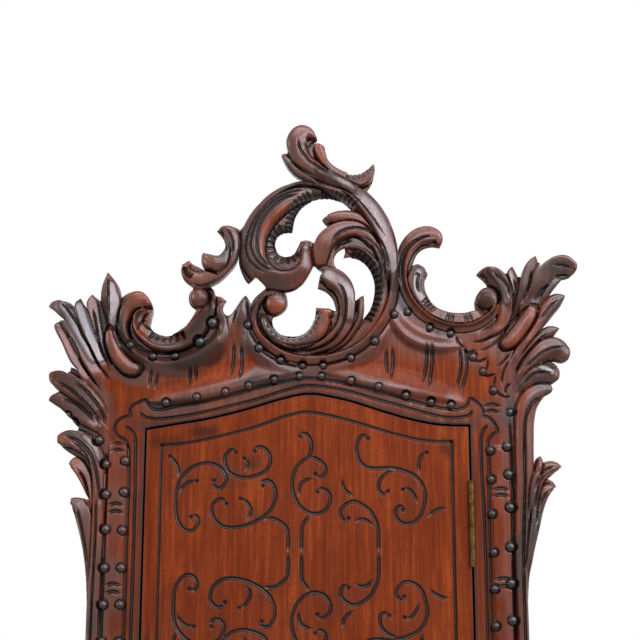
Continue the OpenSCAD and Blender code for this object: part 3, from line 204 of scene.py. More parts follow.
# A smooth curve through the points, with a point about every spacing millimetres
def smoothLine(points, spacing):
    chosen = np.array(points, float)
    line = []
    for i in range(len(chosen) - 1):
        a, b = chosen[max(i - 1, 0)], chosen[i]
        c, d = chosen[i + 1], chosen[min(i + 2, len(chosen) - 1)]
        count = max(1, int(round(np.hypot(*(c[:2] - b[:2])) / spacing)))
        for t in np.arange(count) / count:
            line.append(0.5 * (2 * b + (c - a) * t + (2 * a - 5 * b + 4 * c - d) * t ** 2
                               + (3 * b - a - 3 * c + d) * t ** 3))
    line.append(chosen[-1])
    return np.array(line)


# One outline from its runs, without its last point
def outline(runs):
    points, start = [], []
    for run in runs:
        points += [tuple(p) for p in smoothLine(start + run, relief["outlineStep"])[:-1]]
        start = [run[-1]]
    return points


# The other half of the frame, and a part's place up or down it
def flipped(points):
    return [(-x, *rest) for x, *rest in points]


def lifted(points, by):
    return [(x, z + by, *rest) for x, z, *rest in points]


# The part of the map round a point, and how far off each of its grid points lies
def nearPoint(x, z, reach):
    c0, c1 = np.searchsorted(columns, (x - reach, x + reach))
    r0, r1 = np.searchsorted(rows, (z - reach, z + reach))
    return (slice(r0, r1), slice(c0, c1)), np.hypot(columns[c0:c1][None, :] - x, rows[r0:r1][:, None] - z)


# The part of the map round a line; for each of its grid points how far off the line it lies, on which side, and
# where along it
def nearLine(line, reach):
    c0, c1 = np.searchsorted(columns, (line[:, 0].min() - reach, line[:, 0].max() + reach))
    r0, r1 = np.searchsorted(rows, (line[:, 1].min() - reach, line[:, 1].max() + reach))
    away = np.full((r1 - r0, c1 - c0), 1e6)
    side = np.ones_like(away)
    at = np.zeros_like(away)
    for i in range(len(line) - 1):
        a, b = line[i, :2], line[i + 1, :2]
        x0, x1 = np.searchsorted(columns, (min(a[0], b[0]) - reach, max(a[0], b[0]) + reach))
        z0, z1 = np.searchsorted(rows, (min(a[1], b[1]) - reach, max(a[1], b[1]) + reach))
        if x1 <= x0 or z1 <= z0:
            continue
        px = columns[x0:x1][None, :] - a[0]
        pz = rows[z0:z1][:, None] - a[1]
        d = b - a
        s = np.clip((px * d[0] + pz * d[1]) / max(d @ d, 1e-9), 0, 1)
        r = np.hypot(px - s * d[0], pz - s * d[1])
        part = (slice(z0 - r0, z1 - r0), slice(x0 - c0, x1 - c0))
        closer = r < away[part]
        away[part][closer] = r[closer]
        side[part][closer] = np.where(d[0] * pz - d[1] * px < 0, -1.0, 1.0)[closer]
        at[part][closer] = (i + s)[closer]
    return (slice(r0, r1), slice(c0, c1)), away, side, at


def lengthAlong(line):
    return np.concatenate(([0], np.cumsum(np.hypot(*np.diff(line[:, :2], axis=0).T))))


# A value given at each point of a line, read at the places along it
def readAlong(values, at):
    return np.interp(at, np.arange(len(values)), values)


# Narrowest half width of a form, finest step of its section, and the height from which its ditch is full
form = {"leastWide": 0.3, "sectionStep": 0.04, "fullTall": 8, "leastDitch": 0.3}


# A scroll or leaf: points are (x, z, half width, height). Its start and its end may fade into what lies under
# them, and a third value of fade makes the ditch beside it shallower.
def addForm(points, section, fade):
    line = smoothLine(points, relief["lineStep"])
    window, away, side, at = nearLine(line, line[:, 2].max() + relief["moat"])
    wide = np.maximum(readAlong(line[:, 2], at), form["leastWide"])
    tall = readAlong(line[:, 3], at)
    profile = smoothLine(sections[section], form["sectionStep"])
    shape = np.interp(side * np.minimum(away / wide, 1), profile[:, 0], profile[:, 1])
    new = relief["ground"] + (tall - relief["ground"]) * shape
    along = lengthAlong(line)
    run = readAlong(along, at)
    start, end, share = (*fade, 1)[:3]
    hold = np.ones_like(run)
    if start:
        hold *= np.clip(run / start, 0, 1)
    if end:
        hold *= np.clip((along[-1] - run) / end, 0, 1)
    hold = hold * hold * (3 - 2 * hold)
    old = height[window]
    off = away - wide
    ditch = (share * relief["ditch"] * np.clip(tall / form["fullTall"], form["leastDitch"], 1)
             * np.clip(1 - off / relief["moat"], 0, 1) ** 1.5)
    beside = np.where(off < relief["moat"], old - ditch * hold, old)
    height[window] = np.where(off <= 0, old + (new - old) * hold, beside)


# A soft swelling that runs out to nothing on both sides; its crown may lie off the middle, from -1 right to 1 left
def addSwell(points, skew):
    line = smoothLine(points, relief["lineStep"])
    window, away, side, at = nearLine(line, line[:, 2].max())
    wide = np.maximum(readAlong(line[:, 2], at), form["leastWide"])
    u = side * np.minimum(away / wide, 1)
    u = np.where(u < skew, (u - skew) / (1 + skew), (u - skew) / (1 - skew))
    height[window] += readAlong(line[:, 3], at) * (0.5 + 0.5 * np.cos(math.pi * np.clip(u, -1, 1)))


# How thin, shallow and pale an incised line gets at its ends: what is left there, and what the full line adds
cutEnd = {"wide": (0.45, 0.55), "deep": (0.2, 0.8), "dark": (0.4, 0.6)}
cutLine = {"bowl": 0.8, "soft": 0.5, "darkFrom": 2.0, "sootAndShade": 0.9}


# An incised line with tapered ends, and the dirt and painted shade in it
def carveLine(points, wide, deep, taper, spacing=relief["lineStep"]):
    line = smoothLine(points, spacing)
    window, away, side, at = nearLine(line, wide * 1.05)
    along = lengthAlong(line)
    run = readAlong(along, at)
    end = np.clip(np.minimum(run, along[-1] - run) / taper, 0, 1) if taper else 1.0
    left = {key: least + rest * end for key, (least, rest) in cutEnd.items()}
    half = wide * left["wide"]
    height[window] -= deep * left["deep"] * np.clip(1 - (away / half) ** 2, 0, 1) ** cutLine["bowl"]
    # The cut's middle is painted dark: dirt, and painted shade in the narrow groove
    black = np.clip((half - away) / cutLine["soft"], 0, 1) * left["dark"] * min(deep / cutLine["darkFrom"], 1)
    sootAndShade[window] = np.maximum(sootAndShade[window], black * cutLine["sootAndShade"])


# A volute's knob: a dome that grows out of its scroll, with a groove round part of it
knob = {"foot": 2.0, "off": 0.5, "groove": (1.7, 4.5, 8), "steps": 24}


def addKnob(x, z, radius, top, arc):
    window, off = nearPoint(x, z, radius + 1)
    dome = knob["foot"] + (top - knob["foot"]) * np.sqrt(np.clip(1 - (off / radius) ** 2, 0, 1))
    patch = height[window]
    patch[:] = np.where(off < radius, np.maximum(dome, np.minimum(patch, top - 2)), patch)
    turn = np.radians(np.linspace(*arc, knob["steps"]))
    ring = radius + knob["off"]
    carveLine([(x + ring * math.cos(t), z + ring * math.sin(t)) for t in turn], *knob["groove"])


# Short gouge cuts side by side along an edge, on its left (+1) or right (-1), in a slope that falls to the edge
flute = {"drop": 4.5, "start": 0.5, "ease": 3, "grimeAndShade": 0.3, "grimeShadeRise": 5, "slopeStep": 1.0, "edge": 1.0,
         "placeStep": 0.5, "ahead": 1.5, "cutStep": 2.0}


def slopeDown(points, length, side):
    line = smoothLine(points, flute["slopeStep"])
    window, away, found, at = nearLine(line, length)
    ends = np.clip(np.minimum(at, len(line) - 1 - at) / flute["ease"], 0, 1)
    slope = np.where((found == side) | (away < flute["edge"]), np.clip(1 - away / length, 0, 1), 0) * ends
    height[window] -= flute["drop"] * slope
    # The slope is painted darker as it falls towards the edge: dirt and painted shade
    sootAndShade[window] = np.maximum(sootAndShade[window], flute["grimeAndShade"] * np.clip(slope * flute["grimeShadeRise"], 0, 1))


def carveFlutes(points, length, spacing, wide, deep, side):
    line = smoothLine(points, flute["placeStep"])
    along = lengthAlong(line)
    for place in np.arange(spacing / 2, along[-1], spacing):
        x, z = (np.interp(place, along, line[:, i]) for i in (0, 1))
        ahead = min(place + flute["ahead"], along[-1])
        behind = ahead - 2 * flute["ahead"]
        dx, dz = (np.interp(ahead, along, line[:, i]) - np.interp(behind, along, line[:, i]) for i in (0, 1))
        n = math.hypot(dx, dz)
        nx, nz = -dz / n * side, dx / n * side
        start, end = ((x + nx * off, z + nz * off) for off in (flute["start"], length))
        carveLine([start, end], wide, deep, 0, flute["cutStep"])


# A carved bead: how deep it sits, the moat and the ring of dirt and painted shade round it, and how dark its top is
# painted, as dirt and painted shade
bead = {"sink": 0.5, "near": 0.8, "moat": 1.3, "moatFrom": 0.3, "moatDeep": 0.3, "moatSlope": 2.5, "tall": 0.95,
        "top": 1.25, "ring": 0.85, "ringFrom": 0.2, "ringWide": 1.2, "frameSize": 1.16, "stileSize": 1.24}


def addBead(x, z, radius):
    window, off = nearPoint(x, z, radius + 2)
    patch, tint = height[window], sootAndShade[window]
    base = np.median(patch[off < radius + bead["near"]]) - bead["sink"]
    moat = base - bead["moatDeep"] + bead["moatSlope"] * np.maximum(off - radius - bead["moatFrom"], 0)
    patch[:] = np.where(off < radius + bead["moat"], np.minimum(patch, moat), patch)
    dome = base + np.sqrt(np.maximum(radius ** 2 - off ** 2, 0)) * bead["tall"]
    patch[:] = np.where(off < radius, np.maximum(patch, dome), patch)
    # Its top is painted near black and a dark ring is painted round it: dirt and painted shade
    ring = np.clip(1 - np.abs(off - radius - bead["ringFrom"]) / bead["ringWide"], 0, 1)
    tint[:] = np.where(off < radius, bead["top"], np.maximum(tint, bead["ring"] * ring))


# A stroke where the colour is darker (above 0), as stain and in a few strokes as painted shade, or rubbed back to the
# warm wood (below 0): it stays full over a quarter of its half width and is gone at one and a quarter of it
stroke = {"step": 2.0, "reach": 1.5, "gone": 1.25, "soft": 0.8}


def addTint(points, amount, wide):
    window, away = nearLine(smoothLine(points, stroke["step"]), wide * stroke["reach"])[:2]
    clouds[window] += amount * np.clip(stroke["gone"] - away / wide, 0, 1) ** stroke["soft"]


# A soft darker patch in the colour
def addCloud(x, z, wide, high, amount):
    u, v = (columns[None, :] - x) / wide, (rows[:, None] - z) / high
    clouds[:] += amount * np.exp(-(u * u + v * v))


# Rounds the board over towards its sawn edge
def roundEdge(points, radius):
    window, away = nearLine(np.array(points), radius)[:2]
    near = np.clip(radius - away, 0, radius)
    height[window] -= radius - np.sqrt(radius ** 2 - near ** 2)


# Puts a table of forms, lines or strokes on the map as drawn or, with a lift, raised by it and on both halves
def putAll(put, table, lift=None):
    for *settings, points in table:
        if lift is None:
            put(points, *settings)
        else:
            put(lifted(points, lift), *settings)
            put(flipped(lifted(points, lift)), *settings)


# Rail over the door: soft pads along the moulded lines and under the scrolls
swells = [
    (0.45, [(150, -31, 5, 0), (140, -26, 8, 2.6), (122, -20, 12, 5.2), (100, -14, 15, 6.5), (75, -9, 16, 7.2),
        (50, -4, 14, 5.9), (28, 0, 9, 3.2), (8, 3, 5, 0)]),
    (0.45, [(-4, 3, 5, 0), (-25, 0, 9, 3.2), (-50, -5, 14, 5.9), (-75, -11, 16, 7.2), (-100, -17, 15, 7.2),
        (-125, -22, 12, 6.5), (-140, -25, 10, 5.9), (-149, -27, 6, 3.9), (-153, -28, 3, 0)]),
    (-0.3, [(84, 66, 5, 0), (85, 52, 9, 3.9), (92, 40, 11, 6.5), (104, 31, 12, 7.2), (119, 26, 11, 6.5),
        (134, 25, 9, 4.5), (149, 26, 5, 0)]),
    (-0.3, [(-70, 70, 5, 0), (-74, 48, 10, 5.2), (-84, 26, 13, 7.2), (-100, 12, 14, 7.8), (-118, 5, 13, 7.8),
        (-136, 3, 11, 6.5), (-152, 7, 9, 5.2), (-166, 15, 7, 3.9), (-175, 26, 5, 0)]),
    (0.2, [(-62, 62, 4, 0), (-62, 44, 9, 3.9), (-56, 26, 11, 6.5), (-44, 12, 10, 5.9), (-28, 4, 7, 2.6),
        (-14, 2, 4, 0)]),
    (-0.2, [(84, 66, 3, 0), (76, 40, 8, 3.9), (64, 22, 10, 5.9), (46, 9, 9, 5.2), (28, 4, 6, 2.6), (14, 2, 3, 0)])]
putAll(addSwell, swells)

# Crest, from what lies at the back to what lies on top: section, fade and line
crestForms = [
    ("round", (4, 30), [(-80, 67, 1.5, 6), (-84, 61, 4, 7), (-83, 50, 5, 6), (-81, 38, 5, 3), (-79, 26, 5, 1)]),
    ("round", (4, 34), [(-60, 71, 1.5, 5), (-63, 62, 4.5, 7), (-64, 50, 6.5, 7), (-66, 37, 7, 4), (-67, 24, 7, 1)]),
    ("round", (0, 0), [(51, 69, 2, 5), (50.5, 61, 3, 6), (48, 50, 4, 6), (42, 39, 4, 6), (33, 28, 4, 6),
        (20, 19, 3, 4)]),
    ("rimLeft", (3, 12), [(37, 119, 2.5, 6), (48, 116, 5, 7), (58, 108, 6.5, 7), (66, 96, 7, 7), (70, 82, 7.5, 7),
        (69, 66, 7.5, 6), (64, 51, 7, 6), (55, 38, 6, 5), (42, 26, 5, 4)]),
    ("fall", (8, 2), [(18, 177, 4, 6), (0, 178, 8, 7), (-16, 173.5, 11, 9), (-32, 163, 12.5, 10), (-45, 149, 13, 10),
        (-53, 132, 13, 10), (-54.5, 114, 13, 10), (-48, 99, 12, 10), (-37, 90, 11, 10), (-24, 87.5, 10, 9),
        (-12, 90.5, 9.5, 9), (-3, 98, 9, 9), (-0.5, 110, 6.5, 8), (-1, 123, 6, 7)]),
    ("round", (2, 4), [(18, 149.5, 4, 7), (30, 150.5, 7, 8), (43, 149.5, 7.5, 8), (56, 143, 8, 8), (66, 131, 8, 8),
        (72, 115, 6.5, 7), (75, 98, 5, 6), (75, 84, 3.5, 5)]),
    ("flat", (6, 6), [(12, 98, 4, 6), (12, 110, 7, 9), (14, 122, 9, 11), (22, 132, 9, 11), (34, 138, 8.5, 10),
        (47, 139, 7, 8), (58, 132, 6, 7), (66, 120, 4, 6)]),
    ("roof", (0, 30), [(-26, 74, 2, 6), (-36, 75, 3, 8), (-45, 70, 3.2, 8), (-51, 60, 3.2, 8), (-52, 48, 3.2, 8),
        (-48, 35, 3.6, 8), (-39, 25, 4, 8), (-25, 15.5, 4, 8), (-8, 10.8, 4, 8), (8, 10, 4, 8), (25, 12.5, 4, 8),
        (42, 18.5, 4.2, 8), (57, 29, 4.5, 8), (69, 43, 4.6, 9), (77.5, 58, 4.6, 9), (82, 74, 4.6, 9),
        (83.5, 92, 4.8, 10), (82, 112, 6.4, 10), (76.8, 131, 8.2, 10), (68, 148, 9.2, 10), (56, 162, 9.2, 10),
        (42.5, 172.5, 8, 10), (25, 180, 6, 9), (5, 185, 3.5, 8), (-14, 184, 3, 8), (-32, 176, 3, 8)]),
    ("brim", (16, 16), [(80, 84, 5, 10.5), (80.5, 99, 5.8, 10.5), (79.5, 113, 6.5, 10.5), (76, 127, 7.4, 10.5),
        (71.5, 140, 8.6, 10.5), (65, 152, 9.4, 10.5), (57.5, 163, 9.2, 10.5), (49.5, 171.5, 7.8, 10.2),
        (39, 179, 6, 9.6), (27.5, 183.5, 4.5, 9)]),
    ("round", (3, 10), [(25, 56, 2.5, 7), (17, 54.5, 6, 8), (13, 46, 8, 8), (9, 37, 8, 8), (-1, 29.5, 6.5, 8),
        (-14, 26, 5.8, 8), (-28, 29.5, 5.5, 8), (-38, 39, 4.5, 8), (-43, 50, 3.6, 7), (-43, 58, 2.6, 5)]),
    ("slide", (0, 26), [(17, 94, 8, 8), (25, 89.5, 10.5, 10), (33, 82.5, 10, 11), (37.5, 72, 9, 11),
        (38, 60, 7.5, 10), (36, 47, 7.5, 9), (30, 36, 7, 9), (20, 27, 6, 8), (8, 21.5, 5, 7), (-6, 19, 3.5, 5)]),
    ("round", (0, 10), [(-25, 215, 1.5, 5), (-20, 207, 5.5, 7), (-11, 199, 7, 7), (1, 192, 6, 7), (14, 187, 4, 5)]),
    ("rimLeft", (2, 2), [(64.5, 206, 1, 5), (61, 196, 5, 8), (52, 189.5, 8, 8), (38, 190, 8, 8), (26, 196, 7, 9),
        (17, 206, 6, 9), (12, 217, 5.5, 9), (9, 226, 4.5, 8)]),
    ("round", (0, 16), [(7, 233, 2, 5), (0, 237, 7, 8), (-7, 235, 11, 10), (-12, 226, 10.5, 11), (-10, 216, 9.5, 10),
        (-3, 206, 9, 10), (8, 198, 8.5, 10), (22, 190, 7, 9), (38, 182.5, 6, 8), (54, 173, 5, 8)]),
    ("round", (2, 2), [(-118.5, 105, 3.4, 6), (-118.5, 97, 5, 8), (-113, 89.5, 8, 8), (-104, 87, 8.5, 8),
        (-94, 89.5, 9, 8), (-84, 96, 9.5, 8), (-77, 105, 7.5, 9), (-72.5, 116, 6, 9), (-73, 127, 7, 9),
        (-76, 135, 7, 9), (-82, 139, 3.6, 8), (-87.5, 138, 1.5, 5)]),
    ("round", (2, 12), [(-102.5, 115, 1.5, 5), (-98, 107.5, 6.5, 8), (-91.5, 104, 8.5, 10), (-84, 106, 7.5, 9),
        (-79.5, 115, 4.5, 7), (-79, 126, 3, 6)]),
    ("round", (0, 0, 0), [(-148.5, 52, 6, 8), (-152, 43, 7.5, 8), (-150, 34.5, 7, 7)]),
    ("rimLeft", (2, 8), [(-92, 79, 2.5, 7), (-93, 68, 4.5, 8), (-97, 54, 7, 8), (-105, 42, 9, 8),
        (-116, 32.5, 10, 8), (-130, 27, 9.5, 8), (-144, 28, 8.5, 8), (-154, 33, 7, 9), (-161.5, 40, 5.5, 10),
        (-163.5, 50, 4.5, 9.5), (-159, 57.5, 4, 9), (-151, 59, 3, 8)]),
    ("round", (2, 34), [(-151, 62, 4, 7), (-157, 68, 8, 8), (-167, 67.5, 9, 9), (-175, 59, 7, 9), (-178, 47, 6, 9),
        (-176, 34, 4.5, 8), (-169, 22, 3.5, 7), (-158, 14, 3, 5)]),
    ("flat", (6, 24, 0), [(-232, 59.5, 8.5, 6), (-220, 42, 16.5, 6.5), (-206.5, 17, 15.5, 6.5), (-195, -6, 9.5, 4)]),
    ("slide", (0, 12, 0.15), [(-208.5, 73.5, 2, 7), (-208.5, 63.5, 6, 8), (-205.5, 48, 6, 8.5),
        (-201.5, 32.5, 5.5, 8), (-197, 19, 4.5, 7), (-191.5, 5.5, 3, 5)]),
    ("slide", (0, 14, 0.15), [(-220, 70.5, 3, 7), (-219, 61.5, 6, 8.5), (-213.5, 46, 6.5, 9), (-208, 31.5, 6, 9),
        (-201.5, 17, 5, 8.5), (-195.5, 4.5, 4.5, 7), (-189.5, -6, 3, 5)]),
    ("slide", (0, 22, 0.2), [(-240, 46, 5, 7), (-236, 39, 6, 8), (-229.5, 26.5, 6, 8), (-222.5, 12, 6, 8),
        (-214.5, -0.5, 5.5, 7.5), (-207, -12, 5, 6), (-200, -23.5, 4, 4)]),
    ("slide", (0, 22, 0.2), [(-250.5, 62.5, 5, 7), (-242.5, 63, 6.5, 8), (-234.5, 55.5, 7.5, 9.5),
        (-226.5, 43, 8, 10), (-219, 28.5, 7.5, 10), (-212, 15, 7, 9.5), (-205, 2.5, 6, 8.5), (-198, -9, 5.5, 7),
        (-191.5, -19.5, 4, 4)]),
    ("ridge", (0, 10, 0.5), [(-193, 96, 2, 6), (-192, 83, 7.5, 9), (-190, 67.5, 10, 10), (-188.5, 54, 7.5, 9.5),
        (-188, 42, 5, 8.5), (-186, 32.5, 3, 8)]),
    ("round", (0, 0, 0), [(-189, 34, 5.5, 9), (-187, 26, 7, 10), (-181.5, 13, 7.5, 10), (-172.5, 3.5, 7.5, 9.5),
        (-166, 1, 6.5, 9)]),
    ("slide", (0, 14, 0.3), [(-243.5, -25, 5, 7), (-236, -27, 7.5, 8), (-226, -33, 9, 8.5),
        (-216.5, -39.5, 8.5, 8.5), (-207, -46, 8, 8), (-197, -53.5, 6, 6), (-190, -61, 4, 4)]),
    ("slide", (0, 12, 0.3), [(-246.5, -5, 6.5, 7), (-238.5, -6.5, 9, 9), (-229, -12, 10, 9.5),
        (-218, -19.5, 10, 9.5), (-208.5, -27, 9, 9), (-199.5, -36.5, 7.5, 8), (-192.5, -48, 5, 5)]),
    ("slide", (0, 10, 0.3), [(107, 99, 7, 8), (104.5, 89, 8.5, 9), (104.5, 79.5, 9, 9), (108.5, 68.5, 9, 9),
        (116, 59.5, 8.5, 8.5), (127.5, 53, 8, 8), (140, 49.5, 8, 7.5), (152.5, 49.5, 8, 7.5), (164, 53, 6, 7),
        (172, 58.5, 4, 6)]),
    ("rimLeft", (2, 4, 0.5), [(127.5, 123, 3, 6), (127, 130, 6, 8), (119, 133.5, 9, 9), (107, 131, 9, 9),
        (98, 122, 8, 9), (93, 110, 6, 9), (91.5, 97, 4.5, 9), (92.5, 83, 4.2, 9), (98, 69, 4.2, 8),
        (107, 57, 4.2, 8), (118, 48.5, 4, 8), (131, 43, 4, 8), (146, 41, 4, 8), (161, 43.5, 4, 8), (174, 51.5, 4, 8),
        (181.5, 61, 4, 8), (182, 72, 4, 8), (175, 80, 3, 7)]),
    ("flat", (6, 24, 0), [(220, 91, 12.5, 6), (217, 67.5, 13.5, 6), (218, 38, 15.5, 6), (211.5, 13, 12.5, 5),
        (203, -10, 7.5, 4)]),
    ("slide", (0, 14, 0.3), [(196.5, 101, 3, 7), (197, 90, 5.5, 8.5), (197.5, 76.5, 5.5, 8.5), (196, 62.5, 5, 7.5),
        (192.5, 50, 3, 5)]),
    ("slide", (0, 16, 0.3), [(221, 113, 2.5, 7), (216.5, 103, 7, 9), (212.5, 91, 8, 9.5), (209.5, 77.5, 7, 9),
        (205, 64.5, 5.5, 7), (200.5, 52, 3, 4)]),
    ("round", (0, 12, 0.3), [(245, 87, 2.5, 6), (238, 86, 6, 8), (231, 79.5, 7, 8.5), (225, 70.5, 7, 8),
        (220, 61.5, 6, 6)]),
    ("slide", (0, 16, 0.3), [(255, 100, 7.5, 8), (246.5, 103.5, 10, 9.5), (236, 101.5, 10.5, 10),
        (227.5, 94, 10, 10), (221.5, 83, 8.5, 9.5), (217.5, 71.5, 6.5, 7.5), (214, 61.5, 5, 5)]),
    ("round", (0, 26, 0.3), [(247, 71.5, 3, 7), (239.5, 68, 7, 8.5), (231.5, 60, 7.5, 9), (224, 50, 7.5, 9),
        (217, 38, 7, 8.5), (209, 25.5, 7, 8), (201, 12, 6, 6), (194, -1.5, 4, 4)]),
    ("round", (0, 0, 0), [(214.5, 57, 6, 8), (211.5, 50, 7.5, 8.5), (204, 39.5, 7.8, 8.5), (195.5, 29.5, 7.5, 8.5),
        (190.5, 26, 6, 8)]),
    ("round", (0, 20, 0.3), [(239, 40, 3, 7), (232.5, 37.5, 6, 8.5), (224.5, 31.5, 6, 8.5), (215.5, 22.5, 5.5, 8),
        (207.5, 12, 5, 7), (201.5, 1.5, 4, 5)]),
    ("round", (0, 22, 0.2), [(243, 16, 9.5, 8), (235.5, 21, 11, 9.5), (226, 19, 10.5, 10), (217, 12, 9, 9.5),
        (209, 2.5, 7, 8.5), (202, -10, 5.5, 6), (198, -21.5, 3, 3)]),
    ("round", (0, 14, 0.3), [(231.5, -5, 8.5, 8), (223, -3.5, 9.5, 9.5), (214.5, -7, 8.5, 9.5), (207.5, -14.5, 7, 8),
        (201.5, -24, 5.5, 5)]),
    ("round", (0, 0, 0.4), [(228, -19, 6.5, 8), (219, -21, 8.5, 9), (211, -28, 9.5, 9.5), (206, -38, 9.5, 9.5),
        (204.5, -54, 9, 9), (203.5, -80, 9, 9), (202.5, -105, 8.2, 9), (200, -135, 7, 8), (198, -170, 6, 7),
        (197, -215, 5, 7), (197, -300, 5, 7), (197, -386, 4.6, 7)]),
    ("fall", (2, 24), [(166, 94.5, 2, 6), (174, 95.5, 6.5, 8), (182, 90.5, 9, 9), (188, 80, 8, 10),
        (190.5, 68, 7, 9), (190, 56, 6.5, 8), (185, 44.5, 6, 7), (174, 37, 5, 6), (160, 32, 4, 4)])]
putAll(addForm, crestForms)
# Place, radius, height and arc of the groove of each volute's knob
knobs = [(-30.5, 64.5, 11.2, 9.5, (120, 245)), (-104.8, 70.5, 9.4, 9, (-60, 55)), (172.5, 70.5, 11.2, 9, (-50, 125))]
for place in knobs:
    addKnob(*place)

# Stiles: leaves on the outside, a rounded column with beads and paired cuts beside the moulded lines
stileForms = [
    ("flat", (6, 6), [(-179, -66, 9, 1.5), (-179, -300, 9, 1.5), (-179, -530, 9, 1.5)]),
    ("flat", (6, 6), [(181, -70, 9, 1.5), (181, -300, 9, 1.5), (181, -530, 9, 1.5)]),
    ("slide", (2, 18, 0.6), [(-223, -85.5, 3, 7), (-217, -89, 6.5, 8), (-211, -98.5, 7, 8.5), (-206, -111, 6, 8.5),
        (-202, -125, 6, 8), (-198.5, -140.5, 5, 6)]),
    ("slide", (2, 16, 0.6), [(-221.5, -121.5, 3, 7), (-214, -125, 6.5, 8), (-208.5, -136, 7.5, 8.5),
        (-204.5, -151.5, 7, 8), (-201, -167.5, 6, 7), (-197, -194.5, 5, 5)]),
    ("slide", (2, 0, 0.6), [(-237, -64, 5, 7), (-229.5, -64, 8, 8.5), (-218, -65.5, 9, 9.5), (-207.5, -71.5, 9, 9.5),
        (-199.5, -81.5, 7.5, 9), (-196, -94.5, 6.5, 8.5), (-194.5, -115, 5.8, 8), (-195, -150, 5.2, 7),
        (-195.5, -180, 5, 7), (-196, -215, 5, 7), (-196.5, -300, 5, 7), (-197, -386, 4.6, 7)]),
    ("round", (2, 20), [(230.5, -109, 2.5, 5), (223, -113.5, 6, 8), (216.5, -125, 6, 8), (212, -142, 5.5, 8),
        (208, -165, 5, 7), (204, -195, 4.5, 5)]),
    ("round", (2, 20), [(237, -91, 3, 5), (228, -92, 6, 8), (219, -97, 7, 8), (213, -108, 6, 8), (210, -124, 5, 7),
        (208, -145, 4, 5)]),
    ("round", (2, 8), [(219, -83, 2, 4), (217, -91, 3.5, 7), (214, -101, 3.5, 6)])]
putAll(addForm, stileForms)
footForms = [
    ("round", (0, 2), [(196.5, 172, 4, 6), (197, 160, 5.5, 6), (199, 125, 6, 7), (204, 95, 6, 8), (211, 76, 5.5, 8),
        (220, 62.5, 2, 5)]),
    ("round", (14, 2), [(196, 110, 5, 6), (199, 70, 6, 8), (207, 42, 6.5, 8), (216, 24, 5.5, 8), (223.5, 15, 2, 5)]),
    ("round", (10, 0), [(196, 50, 5, 6), (201, 25, 6.5, 8), (208, 4, 7.5, 8), (209, -4, 7.5, 8)])]
putAll(addForm, footForms, joint["sill"])

# Apron: a cushion under the moulded lines, then a C scroll and leaves on each half and a drop in the middle
apronFloor = joint["sill"] - joint["apron"]
cushion = [(-156, 82, 3, 3), (-140, 82, 7, 6), (-110, 82, 9, 8), (-60, 82, 9, 8), (0, 82, 8, 7), (60, 82, 9, 8),
    (110, 82, 9, 8), (140, 82, 7, 6), (156, 82, 3, 3)]
addForm(lifted(cushion, apronFloor), "round", (6, 6))
halfApronForms = [
    ("round", (12, 0), [(16, 78, 5, 5), (14, 56, 7, 9), (9.5, 34, 7.5, 9), (3, 12, 5, 7)]),
    ("round", (12, 0), [(46, 76, 5, 5), (41, 60, 7, 8), (37, 46, 7.5, 9), (31, 32, 7, 8), (20, 19, 5, 7)]),
    ("round", (10, 2), [(84, 66, 5, 6), (78, 48, 8, 8), (68, 36, 7, 8), (59, 44, 6, 8), (55, 54, 4, 6)]),
    ("round", (8, 12), [(146, 74, 5, 6), (130, 64.5, 8, 8), (114, 61.5, 9, 9), (98, 64, 9, 9), (82, 70, 7, 8),
        (64, 73, 5, 5)]),
    ("rimLeft", (6, 6), [(203, 50, 4, 5), (190, 58, 8, 8), (176, 51.5, 9, 9), (161, 52, 9.5, 9), (150, 61, 9, 9),
        (149, 73, 8, 9), (158, 81, 7, 9), (169, 77, 5, 8)]),
    ("round", (4, 2), [(190, 101, 7, 7), (203, 86, 8.5, 9), (214, 70, 8, 9), (219, 54, 6, 8), (217.5, 37, 2.5, 5)]),
    ("round", (0, 2), [(209, 110, 7.5, 8), (215, 98, 8.5, 9), (225, 86, 8, 9), (233, 73, 5.5, 8),
        (238, 62, 2.5, 5)])]
putAll(addForm, halfApronForms, apronFloor)

